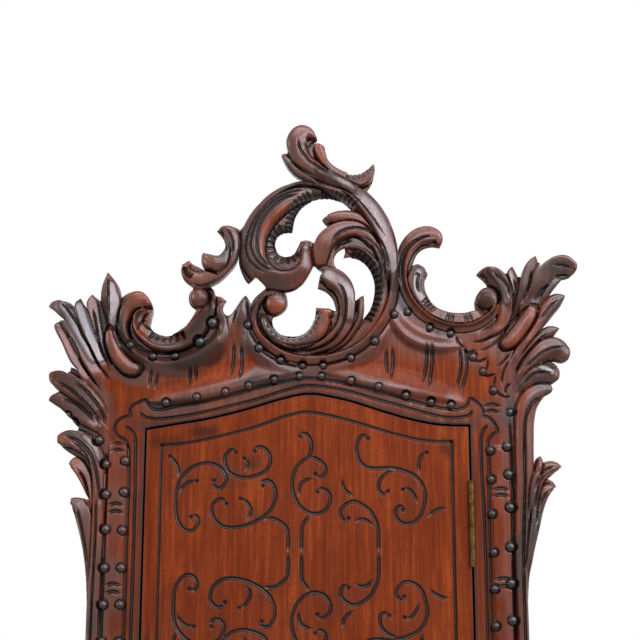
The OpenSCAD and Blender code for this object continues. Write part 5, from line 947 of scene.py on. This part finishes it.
# The backs are cut away towards the sawn outlines, as carvers do, so that the edges look thin
undercut = {"wide": 12.0, "deep": 17.0, "least": 2.2, "curve": 1.25, "step": 1.2}
hollow = np.zeros_like(height)
for points in sawnEdges:
    window, away = nearLine(np.array(points), undercut["wide"])[:2]
    hollow[window] = np.maximum(hollow[window], np.clip(1 - away / undercut["wide"], 0, 1) ** undercut["curve"])
print("relief map carved", height.shape, round(float(height.min()), 2), round(float(height.max()), 2))


# A map averaged twice over reach millimetres on all sides
def blurred(field, reach):
    count = max(1, int(round(reach / relief["step"])))
    for axis in (0, 1, 0, 1):
        padded = np.concatenate([np.repeat(np.take(field, [0], axis), count + 1, axis), field,
                                 np.repeat(np.take(field, [-1], axis), count, axis)], axis)
        total = np.cumsum(padded, axis)
        size = field.shape[axis]
        upper = np.take(total, np.arange(2 * count + 1, 2 * count + 1 + size), axis)
        lower = np.take(total, np.arange(size), axis)
        field = (upper - lower) / (2 * count + 1)
    return field


# Dirt and old wax lie in the cuts, and handling has rubbed the tops; cuts and hollows are painted darker as dirt and
# painted shade. How far a place lies below its surroundings is measured over fine and broad millimetres; the stain is
# darker where the carving is busy.
aging = {"fine": 1.4, "broad": 5.0, "busy": 9.0, "dirtShadeFrom": 0.25, "fineDirtShade": 0.45, "broadDirtShade": 0.03,
         "fineWear": -0.35, "broadWear": -0.14, "calm": 0.3, "stainOver": 0.8, "gap": 3.5, "gapFrom": 3.2,
         "gapSoft": 1.6, "gapDark": 0.9}
fine = blurred(height, aging["fine"]) - height
broad = blurred(height, aging["broad"]) - height
# A dark band painted along the door's gap: painted shade
window, away = nearLine(np.array(openingPoints + openingPoints[:1]), aging["gap"])[:2]
gapShade = np.clip((aging["gapFrom"] - away) / aging["gapSoft"], 0, 1) * aging["gapDark"]
sootAndShade[window] = np.maximum(sootAndShade[window], gapShade)
busy = blurred(np.abs(broad), aging["busy"])
# How dark the cuts and hollows are painted, as dirt and painted shade, then wear, stain and the strokes
marks = {"dirtAndShade": np.clip(aging["fineDirtShade"] * (fine - aging["dirtShadeFrom"]) + aging["broadDirtShade"] * broad + sootAndShade, 0, 1),
         "wear": np.clip(aging["fineWear"] * fine + aging["broadWear"] * broad, 0, 1),
         "stain": np.clip((busy - aging["calm"]) / aging["stainOver"], 0, 1),
         "cloud": clouds}
print("dirt and wear worked out")


# A map's values at any places, blended between its grid points
def sampled(field, x, z):
    u = np.clip((x - columns[0]) / relief["step"], 0, len(columns) - 1.001)
    v = np.clip((z - rows[0]) / relief["step"], 0, len(rows) - 1.001)
    i, j = u.astype(int), v.astype(int)
    fu, fv = u - i, v - j
    return ((field[j, i] * (1 - fu) + field[j, i + 1] * fu) * (1 - fv)
            + (field[j + 1, i] * (1 - fu) + field[j + 1, i + 1] * fu) * fv)


def newObject(name, bm):
    mesh = bpy.data.meshes.new(name)
    bm.to_mesh(mesh)
    bm.free()
    made = bpy.data.objects.new(name, mesh)
    bpy.context.scene.collection.objects.link(made)
    return made


# The places of a mesh's vertices, a row each
def placesOf(mesh):
    co = np.empty(len(mesh.vertices) * 3)
    mesh.vertices.foreach_get("co", co)
    return co.reshape(-1, 3)


# A board sawn to an outline: one face pulled forward
def sawnBoard(name, points, back, front):
    bm = bmesh.new()
    face = bm.faces.new([bm.verts.new((x / 1000, back / 1000, z / 1000)) for x, z in points])
    pulled = bmesh.ops.extrude_face_region(bm, geom=[face])
    moved = [v for v in pulled["geom"] if isinstance(v, bmesh.types.BMVert)]
    bmesh.ops.translate(bm, verts=moved, vec=(0, (front - back) / 1000, 0))
    bmesh.ops.remove_doubles(bm, verts=bm.verts, dist=1e-6)
    bmesh.ops.recalc_face_normals(bm, faces=bm.faces)
    return newObject(name, bm)


# A block with one face shaped by a map of y values, and its other side at far
def reliefBlock(low, high, surface, far, step):
    across, up = (max(2, int(round((high[i] - low[i]) / step))) for i in (0, 1))
    bm = bmesh.new()
    bmesh.ops.create_grid(bm, x_segments=across, y_segments=up, size=1)
    wall = bmesh.ops.extrude_edge_only(bm, edges=[e for e in bm.edges if e.is_boundary])
    down = [v for v in wall["geom"] if isinstance(v, bmesh.types.BMVert)]
    bmesh.ops.translate(bm, verts=down, vec=(0, 0, -1))
    bmesh.ops.edgeloop_fill(bm, edges=[e for e in bm.edges if e.is_boundary])
    block = newObject("block", bm)
    co = placesOf(block.data)
    x = low[0] + (co[:, 0] + 1) / 2 * (high[0] - low[0])
    z = low[1] + (co[:, 1] + 1) / 2 * (high[1] - low[1])
    y = np.where(co[:, 2] < -0.5, far, sampled(surface, x, z))
    block.data.vertices.foreach_set("co", (np.stack([x, y, z], 1) / 1000).ravel())
    block.data.update()
    if far < relief["front"]:
        block.data.flip_normals()
    return block


# Gives a board the mesh that its modifiers make
def settle(board):
    old = board.data
    board.data = bpy.data.meshes.new_from_object(board.evaluated_get(bpy.context.evaluated_depsgraph_get()))
    board.modifiers.clear()
    bpy.data.meshes.remove(old)


def combine(board, tool, how):
    cut = board.modifiers.new("cut", "BOOLEAN")
    cut.operation = how
    cut.solver = "MANIFOLD"
    cut.object = tool
    settle(board)
    bpy.data.objects.remove(tool)


# Takes out the few faces round a seam that thinning left open, and closes the gap
def mend(mesh):
    bm = bmesh.new()
    bm.from_mesh(mesh)
    for tries in range(5):
        seams = [line for line in bm.edges if not line.is_manifold]
        if not seams:
            break
        faces = {face for line in seams for vert in line.verts for face in vert.link_faces}
        bmesh.ops.delete(bm, geom=sorted(faces, key=lambda face: face.index), context="FACES")
        bmesh.ops.holes_fill(bm, edges=[line for line in bm.edges if line.is_boundary], sides=0)
        bmesh.ops.triangulate(bm, faces=[face for face in bm.faces if len(face.verts) > 4])
        bm.faces.index_update()
    print("seams left", sum(not line.is_manifold for line in bm.edges))
    bm.to_mesh(mesh)
    bm.free()


def triangles(mesh):
    mesh.calc_loop_triangles()
    return len(mesh.loop_triangles)


def thinned(board, most):
    count = triangles(board.data)
    if count > most:
        board.modifiers.new("thin", "DECIMATE").ratio = most / count
        settle(board)
        mend(board.data)


# Gives each vertex its share of dirt and painted shade, wear, stain and cloud; behind its front a board is painted
# evenly darker, as shade on its sawn walls
behindBoard = {"depth": 2.5, "dirtAndShade": 0.4}


def paint(board):
    co = placesOf(board.data) * 1000
    x, z = co[:, 0], co[:, 2]
    front = relief["front"] - sampled(height, x, z)
    behind = np.clip((co[:, 1] - front) / behindBoard["depth"], 0, 1)
    values = {name: sampled(field, x, z) for name, field in marks.items()}
    # Behind the front the walls are painted darker: painted shade
    values["dirtAndShade"] = values["dirtAndShade"] * (1 - behind) + behindBoard["dirtAndShade"] * behind
    values["wear"] = values["wear"] * (1 - behind)
    for name, value in values.items():
        board.data.attributes.new(name, "FLOAT", "POINT").data.foreach_set("value", value.astype(np.float32))


# Room in a board for metal fittings: hinge knuckles and leaves, and a key
fitting = {"hingeX": 153.0, "hingeY": -152.0, "hingeZ": (-143.5, -468.0), "knuckle": 3.4, "knuckles": 79.2,
           "leaf": 76.1, "leafDeep": 19.95, "leafThick": 3.05, "keyX": -125.0, "keyZ": -300.0, "keyRound": 3.0,
           "keyY": (-160, -120), "keySlot": 8.6, "keyHalf": 1.6, "segments": 48}


def boxTool(low, high):
    bm = bmesh.new()
    bmesh.ops.create_cube(bm, size=1)
    bmesh.ops.scale(bm, verts=bm.verts, vec=[(b - a) / 1000 for a, b in zip(low, high)])
    bmesh.ops.translate(bm, verts=bm.verts, vec=[(a + b) / 2000 for a, b in zip(low, high)])
    return newObject("tool", bm)


def rodTool(centre, radius, length, alongY=False):
    bm = bmesh.new()
    bmesh.ops.create_cone(bm, cap_ends=True, segments=fitting["segments"], radius1=radius / 1000,
                          radius2=radius / 1000, depth=length / 1000)
    if alongY:
        bmesh.ops.rotate(bm, verts=bm.verts, cent=(0, 0, 0), matrix=Matrix.Rotation(math.pi / 2, 3, "X"))
    bmesh.ops.translate(bm, verts=bm.verts, vec=[c / 1000 for c in centre])
    return newObject("tool", bm)


def hingeTools(side):
    tools = []
    x, y = fitting["hingeX"], fitting["hingeY"]
    for z in fitting["hingeZ"]:
        left, right = sorted((x, x + side * fitting["leafThick"]))
        low, high = z - fitting["leaf"] / 2, z + fitting["leaf"] / 2
        tools.append(boxTool((left, y, low), (right, y + fitting["leafDeep"], high)))
        tools.append(rodTool((x, y, z), fitting["knuckle"], fitting["knuckles"]))
    return tools


def keyTools():
    x, z, thin = fitting["keyX"], fitting["keyZ"], fitting["keyHalf"]
    front, back = fitting["keyY"]
    return [rodTool((x, (front + back) / 2, z), fitting["keyRound"], back - front, True),
            boxTool((x - thin, front, z - fitting["keySlot"]), (x + thin, back, z))]


# How far in front of the face the sawn blank and its holes reach, and how the edges are shaded
blank = {"front": 20, "holeFront": 25, "holeBack": 5, "blockBack": 6, "blockFront": 40, "margin": 2, "sharp": 50}


# Sawn to its outline, carved on the front, undercut at the back, cut out for the fittings and thinned
def carvedBoard(name, node, body, points, back, most, holes=(), tools=(), hollowed=True):
    front = relief["front"]
    board = sawnBoard(name, points, back, front - blank["front"])
    for hole in holes:
        combine(board, sawnBoard("hole", hole, back + blank["holeBack"], front - blank["holeFront"]), "DIFFERENCE")
    spots = np.array(points)
    low, high = spots.min(0) - blank["margin"], spots.max(0) + blank["margin"]
    combine(board, reliefBlock(low, high, front - height, back + blank["blockBack"], relief["step"]), "INTERSECT")
    if hollowed:
        behind = np.maximum(back - undercut["deep"] * hollow, front - height + undercut["least"])
        combine(board, reliefBlock(low, high, behind, front - blank["blockFront"], undercut["step"]), "INTERSECT")
    for tool in tools:
        combine(board, tool, "DIFFERENCE")
    thinned(board, most)
    board.data.shade_smooth()
    board.data.set_sharp_from_angle(angle=math.radians(blank["sharp"]))
    board.modifiers.new("normals", "WEIGHTED_NORMAL").keep_sharp = True
    settle(board)
    paint(board)
    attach(board, body)
    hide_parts(node)
    print(name, triangles(board.data), "triangles")
    return board


frameBoard = {"body": "cabinet", "back": -130.0, "most": 195000}
doorBoard = {"body": "door", "back": -130.5, "most": 190000}
doorLeft, doorRight, doorFoot = -half + joint["doorGap"], half - joint["doorGap"], sill + joint["doorGap"]
doorTop = [(min(max(x, doorLeft), doorRight), z - joint["doorTopGap"]) for x, z in topEdge]
footCorner = lifted(footRuns[-1][-1:], sill)
boards = [
    carvedBoard("crestCarving", "crest_rail", holes=gaps, **frameBoard,
                points=crestPoints + [crestRuns[-1][-1], (half, crest)] + topEdge[::-1] + [(-half, crest)]),
    carvedBoard("leftStileCarving", "left_stile", **frameBoard,
                points=[(-half, crest)] + leftPoints + flipped(footCorner) + [(-half, sill)]),
    carvedBoard("rightStileCarving", "right_stile", tools=hingeTools(1), **frameBoard,
                points=[(half, crest)] + rightPoints + footCorner + [(half, sill)]),
    carvedBoard("apronCarving", "apron_rail", points=apronPoints, **frameBoard),
    carvedBoard("doorCarving", "door_panel", tools=hingeTools(-1) + keyTools(), hollowed=False, **doorBoard,
                points=[(doorLeft, doorFoot)] + doorTop + [(doorRight, doorFoot)]),
]


# An sRGB hex colour as the linear one that a node takes
def linear(code):
    out = []
    for i in (0, 2, 4):
        c = int(code[i:i + 2], 16) / 255
        out.append(c / 12.92 if c <= 0.04045 else ((c + 0.055) / 1.055) ** 2.4)
    return tuple(out) + (1.0,)


# Adds a node with its settings. Values go to its open inputs in order, and named ones by name: links or constants.
def addNode(tree, kind, settings, *values, out=None, **named):
    node = tree.nodes.new("ShaderNode" + kind)
    for key, value in settings.items():
        setattr(node, key, value)
    wanted = list(zip([socket for socket in node.inputs if socket.enabled], values))
    wanted += [(node.inputs[key.replace("_", " ")], value) for key, value in named.items()]
    for socket, value in wanted:
        if isinstance(value, bpy.types.NodeSocket):
            tree.links.new(value, socket)
        else:
            socket.default_value = value
    return node.outputs[out] if out else next((socket for socket in node.outputs if socket.enabled), None)


def newMaterial(name):
    material = bpy.data.materials.new(name)
    material.use_nodes = True
    material.node_tree.nodes.clear()
    return material, material.node_tree


smooth = {"interpolation_type": "SMOOTHSTEP"}
colours = {"data_type": "RGBA"}
times, plus = {"operation": "MULTIPLY"}, {"operation": "MULTIPLY_ADD"}
capped = {"operation": "MULTIPLY", "use_clamp": True}
noiseSpan, bumpStrength = (0.3, 0.7), 0.3  # most of a noise lies in this span

# Old mahogany, French polished and rubbed: red-orange wood, near black in the cuts with dirt and painted shade, a cool
# satin sheen on the tops.
# Each pattern's size is in millimetres across it.
mahogany = {"wood": "833717", "light": "9b4a20", "deep": "672911", "dark": "2f2420", "dirtAndShade": "1a1311",
            "rubbed": "74442c", "smokeAndShade": "3b2117", "rough": (0.22, 0.31), "dirtRough": 0.06, "shine": 0.12,
            "dirtShine": 0.45, "warmShine": -0.4, "warmDusk": -0.85, "poreDeep": -0.8,
            "grainMm": 1.1, "streakMm": 4.4, "bandMm": 1000 / 38, "broadMm": 1000 / 14, "mottleMm": 1000 / 210,
            "poreMm": 2 / 3, "grainDeepMm": 0.4}
# How far each pattern is drawn out along the grain, its detail and its roughness
woodNoises = {"grain": ((1, 1, 0.05), 4, 0.6), "streak": ((1, 1, 0.05), 3, 0.55), "band": ((1, 1, 0.3), 4, 0.55),
              "broad": ((1, 1, 1), 3, 0.5), "mottle": ((0.6, 1, 1), 3, 0.6), "pore": ((1, 1, 0.03), 1, 0.5)}
woodTone = {"streak": 0.5, "grain": 0.2, "band": 0.3}
# Layers of the bare wood: the pattern, where it starts and is full, how strong it gets and its colour
woodLayers = [("tone", 0.38, 0.6, 1, "wood"), ("tone", 0.52, 0.66, 0.6, "light"), ("mottle", 0.48, 0.66, 0.35, "deep"),
              ("pore", 0.6, 0.74, 0.3, "dirtAndShade")]
# Layers of age and of painted shade, each from where to where on its map, and how strong it is there and there
oldPolish = {"smokeAndShade": (0.62, 0.98, 0, 0.85), "smokeAndShadeOff": (1.1, 1.9, 1, 0.35), "warm": (-0.9, -0.1, 1, 0),
             "dusk": (0.38, 0.6, 0.95, 0.475), "grimeAndShade": (0.25, 0.7, 1.2, 0.9), "rubbed": (0.3, 0.75, 0.1, 0.4),
             "shine": (0.15, 0.75, 0.08, 0.55), "dull": (0.1, 0.9, 1, 0.35), "grey": (1.1, 2, 0, 0.8),
             "clean": (0.3, 1, 1, 0.5)}


def mahoganyMaterial(name, look, carved=True, level=False):
    material, tree = newMaterial(name)
    where = addNode(tree, "TexCoord", {}, out="Object")
    if level:  # boards that lie flat have their grain across the cabinet
        where = addNode(tree, "Mapping", {}, Vector=where, Rotation=(0, math.pi / 2, 0))
    field = {}
    for part, (stretch, detail, rough) in woodNoises.items():
        drawn = addNode(tree, "Mapping", {}, Vector=where, Scale=stretch)
        field[part] = addNode(tree, "TexNoise", {}, Vector=drawn, Scale=1000 / look[part + "Mm"], Detail=detail,
                              Roughness=rough)
    field["tone"] = 0.0
    for part, share in woodTone.items():
        field["tone"] = addNode(tree, "Math", plus, field[part], share, field["tone"])
    wood = linear(look["deep"])
    for part, low, high, most, colour in woodLayers:
        share = addNode(tree, "MapRange", smooth, field[part], low, high, 0, most)
        wood = addNode(tree, "Mix", colours, share, wood, linear(look[colour]))
    rough = addNode(tree, "MapRange", smooth, field["streak"], *noiseSpan, *look["rough"])
    shine = look["shine"]
    if carved:
        dirtAndShade, wear, stain, cloud = (addNode(tree, "Attribute", {"attribute_name": mark}, out="Fac") for mark in marks)
        share = {}
        for part, source in (("smokeAndShade", addNode(tree, "Math", plus, cloud, 0.5, field["band"])), ("smokeAndShadeOff", cloud),
                             ("warm", cloud), ("dusk", field["broad"]), ("grimeAndShade", field["broad"]),
                             ("rubbed", field["grain"]), ("dull", cloud), ("grey", cloud)):
            share[part] = addNode(tree, "MapRange", smooth, source, *oldPolish[part])
        smokeAndShade = addNode(tree, "Math", times, share["smokeAndShade"], share["smokeAndShadeOff"])
        dusk = addNode(tree, "Math", capped, stain, share["dusk"])
        dusk = addNode(tree, "Math", capped, dusk, addNode(tree, "Math", plus, share["warm"], look["warmDusk"], 1))
        grimeAndShade = addNode(tree, "Math", capped, dirtAndShade, share["grimeAndShade"])
        rubbed = addNode(tree, "Math", capped, wear, share["rubbed"])
        # The darker strokes paint stain, and in a few places painted shade; the cuts and hollows are painted near
        # black, as dirt and painted shade
        for amount, colour in ((smokeAndShade, "smokeAndShade"), (dusk, "dark"), (rubbed, "rubbed"), (grimeAndShade, "dirtAndShade")):
            wood = addNode(tree, "Mix", colours, amount, wood, linear(look[colour]))
        rough = addNode(tree, "Math", plus, grimeAndShade, look["dirtRough"], rough)
        cooled = addNode(tree, "Math", plus, share["warm"], look["warmShine"], stain)
        shine = addNode(tree, "MapRange", smooth, cooled, *oldPolish["shine"])
        shine = addNode(tree, "Math", plus, shine, share["dull"], share["grey"])
        clean = addNode(tree, "MapRange", smooth, grimeAndShade, *oldPolish["clean"])
        shine = addNode(tree, "Math", plus, shine, clean, addNode(tree, "Math", times, grimeAndShade, look["dirtShine"]))
    relieved = addNode(tree, "Math", plus, field["pore"], look["poreDeep"], field["grain"])
    bump = addNode(tree, "Bump", {}, Strength=bumpStrength, Distance=look["grainDeepMm"] / 1000, Height=relieved)
    shader = addNode(tree, "BsdfPrincipled", {}, Base_Color=wood, Roughness=rough, Normal=bump,
                     Specular_IOR_Level=shine)
    addNode(tree, "OutputMaterial", {}, Surface=shader)
    return material


# Two colours in soft patches, with a fine unevenness
def patchyMaterial(name, look):
    material, tree = newMaterial(name)
    where = addNode(tree, "TexCoord", {}, out="Object")
    scale = 1000 / look["patchMm"]
    patches = addNode(tree, "TexNoise", {}, Vector=where, Scale=scale, Detail=5, Roughness=0.6)
    small = addNode(tree, "TexNoise", {}, Vector=where, Scale=5 * scale, Detail=3)
    base, other = (linear(code) for code in look["colours"])
    share = addNode(tree, "MapRange", smooth, patches, 0.5 - look["spread"] / 2, 0.5 + look["spread"] / 2, 0, 1)
    colour = addNode(tree, "Mix", colours, share, base, other)
    rough = addNode(tree, "MapRange", smooth, patches, *noiseSpan, *look["rough"])
    bump = addNode(tree, "Bump", {}, Strength=bumpStrength, Distance=look["bumpMm"] / 1000, Height=small)
    shader = addNode(tree, "BsdfPrincipled", {}, Base_Color=colour, Metallic=look["metallic"], Roughness=rough,
                     Normal=bump)
    addNode(tree, "OutputMaterial", {}, Surface=shader)
    return material


# Planed mahogany, oiled and not polished: paler, with a coarser figure
oiledMahogany = dict(mahogany, wood="8a4424", light="95502c", deep="64301a", grainMm=1.6, streakMm=6.4)
# Cast brass that has browned: dull yellow brown with dark tarnish
agedBrass = {"colours": ("745531", "382718"), "rough": (0.37, 0.55), "metallic": 1.0, "patchMm": 6, "spread": 0.6,
             "bumpMm": 0.05}
# Blued steel that has gone dull: brown black
darkSteel = dict(agedBrass, colours=("4b4643", "2b2523"), patchMm=8)
carved = mahoganyMaterial("polishedMahogany", mahogany)
plainWood = mahoganyMaterial("plainMahogany", oiledMahogany, carved=False)
levelWood = mahoganyMaterial("plainMahoganyAcross", oiledMahogany, carved=False, level=True)
brass = patchyMaterial("agedBrass", agedBrass)
steel = patchyMaterial("darkSteel", darkSteel)

# Each finish and how the names of its pieces start; all other pieces are upright boards of plain wood
finishes = [(levelWood, ("top_board", "bottom_board", "shelf_upper", "shelf_lower", "door_batten_upper",
                         "door_batten_lower", "hanging_rail")),
            (brass, ("hinge", "escutcheon", "strike", "shelf_pins", "key")),
            (steel, ("hanger", "back_panel_pins", "door_batten_screws", "lock"))]
for name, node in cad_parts.items():
    node.data.materials.clear()
    node.data.materials.append(next((look for look, starts in finishes if name.startswith(starts)), plainWood))
for board in boards:
    board.data.materials.clear()
    board.data.materials.append(carved)
print("materials given to", len(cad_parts), "nodes and", len(boards), "carved boards")

# Stage: a pale matt floor far below, white surroundings, and soft light from above and a little from the right
stage = {"floorHalf": 4, "floorZ": -1.25, "white": 1.0, "fill": 0.3, "fillColour": "f4f1ee", "aim": (0, -0.14, 0)}
bm = bmesh.new()
bmesh.ops.create_grid(bm, x_segments=1, y_segments=1, size=stage["floorHalf"])
stageFloor = newObject("floor", bm)
stageFloor.location = (0, 0, stage["floorZ"])
matt = dict(agedBrass, colours=("e8e8e6", "e4e4e2"), rough=(0.82, 1.0), metallic=0.0, patchMm=500, spread=0.5)
stageFloor.data.materials.append(patchyMaterial("paleFloor", matt))

# Place, width and height, power and colour of each lamp
lamps = {"rightWindow": ((1.38, -1.42, 0.75), (1.0, 1.1), 29, "eef1ff"),
         "highWindow": ((0.79, -1.2, 1.58), (0.6, 0.6), 9, "f1f3ff"),
         "skyLight": ((-0.05, -1.25, 1.65), (1.1, 0.8), 16, "f4f5ff"),
         "frontWindow": ((0.3, -1.5, 0.66), (0.6, 0.4), 6.5, "eef1ff"),
         "leftWindow": ((-1.9, -1.0, 0.6), (0.5, 0.9), 10, "f4f4ff")}
for name, (place, size, power, colour) in lamps.items():
    data = bpy.data.lights.new(name, "AREA")
    data.shape = "RECTANGLE"
    data.size, data.size_y = size
    data.energy = power
    data.color = linear(colour)[:3]
    lamp = bpy.data.objects.new(name, data)
    lamp.location = place
    lamp.rotation_euler = (Vector(stage["aim"]) - Vector(place)).to_track_quat("-Z", "Y").to_euler()
    bpy.context.scene.collection.objects.link(lamp)

world = bpy.data.worlds.new("surroundings")
bpy.context.scene.world = world
world.use_nodes = True
tree = world.node_tree
tree.nodes.clear()
rays = addNode(tree, "LightPath", {}).node.outputs
larger = {"operation": "MAXIMUM"}
mirrored = addNode(tree, "Math", larger, rays["Is Glossy Ray"], rays["Is Transmission Ray"])
seen = addNode(tree, "Math", larger, rays["Is Camera Ray"], mirrored)
lit = addNode(tree, "Background", {}, Color=linear(stage["fillColour"]), Strength=stage["fill"])
white = addNode(tree, "Background", {}, Color=(1, 1, 1, 1), Strength=stage["white"])
addNode(tree, "OutputWorld", {}, Surface=addNode(tree, "MixShader", {}, seen, lit, white))
print("stage lit by", len(lamps), "lamps")
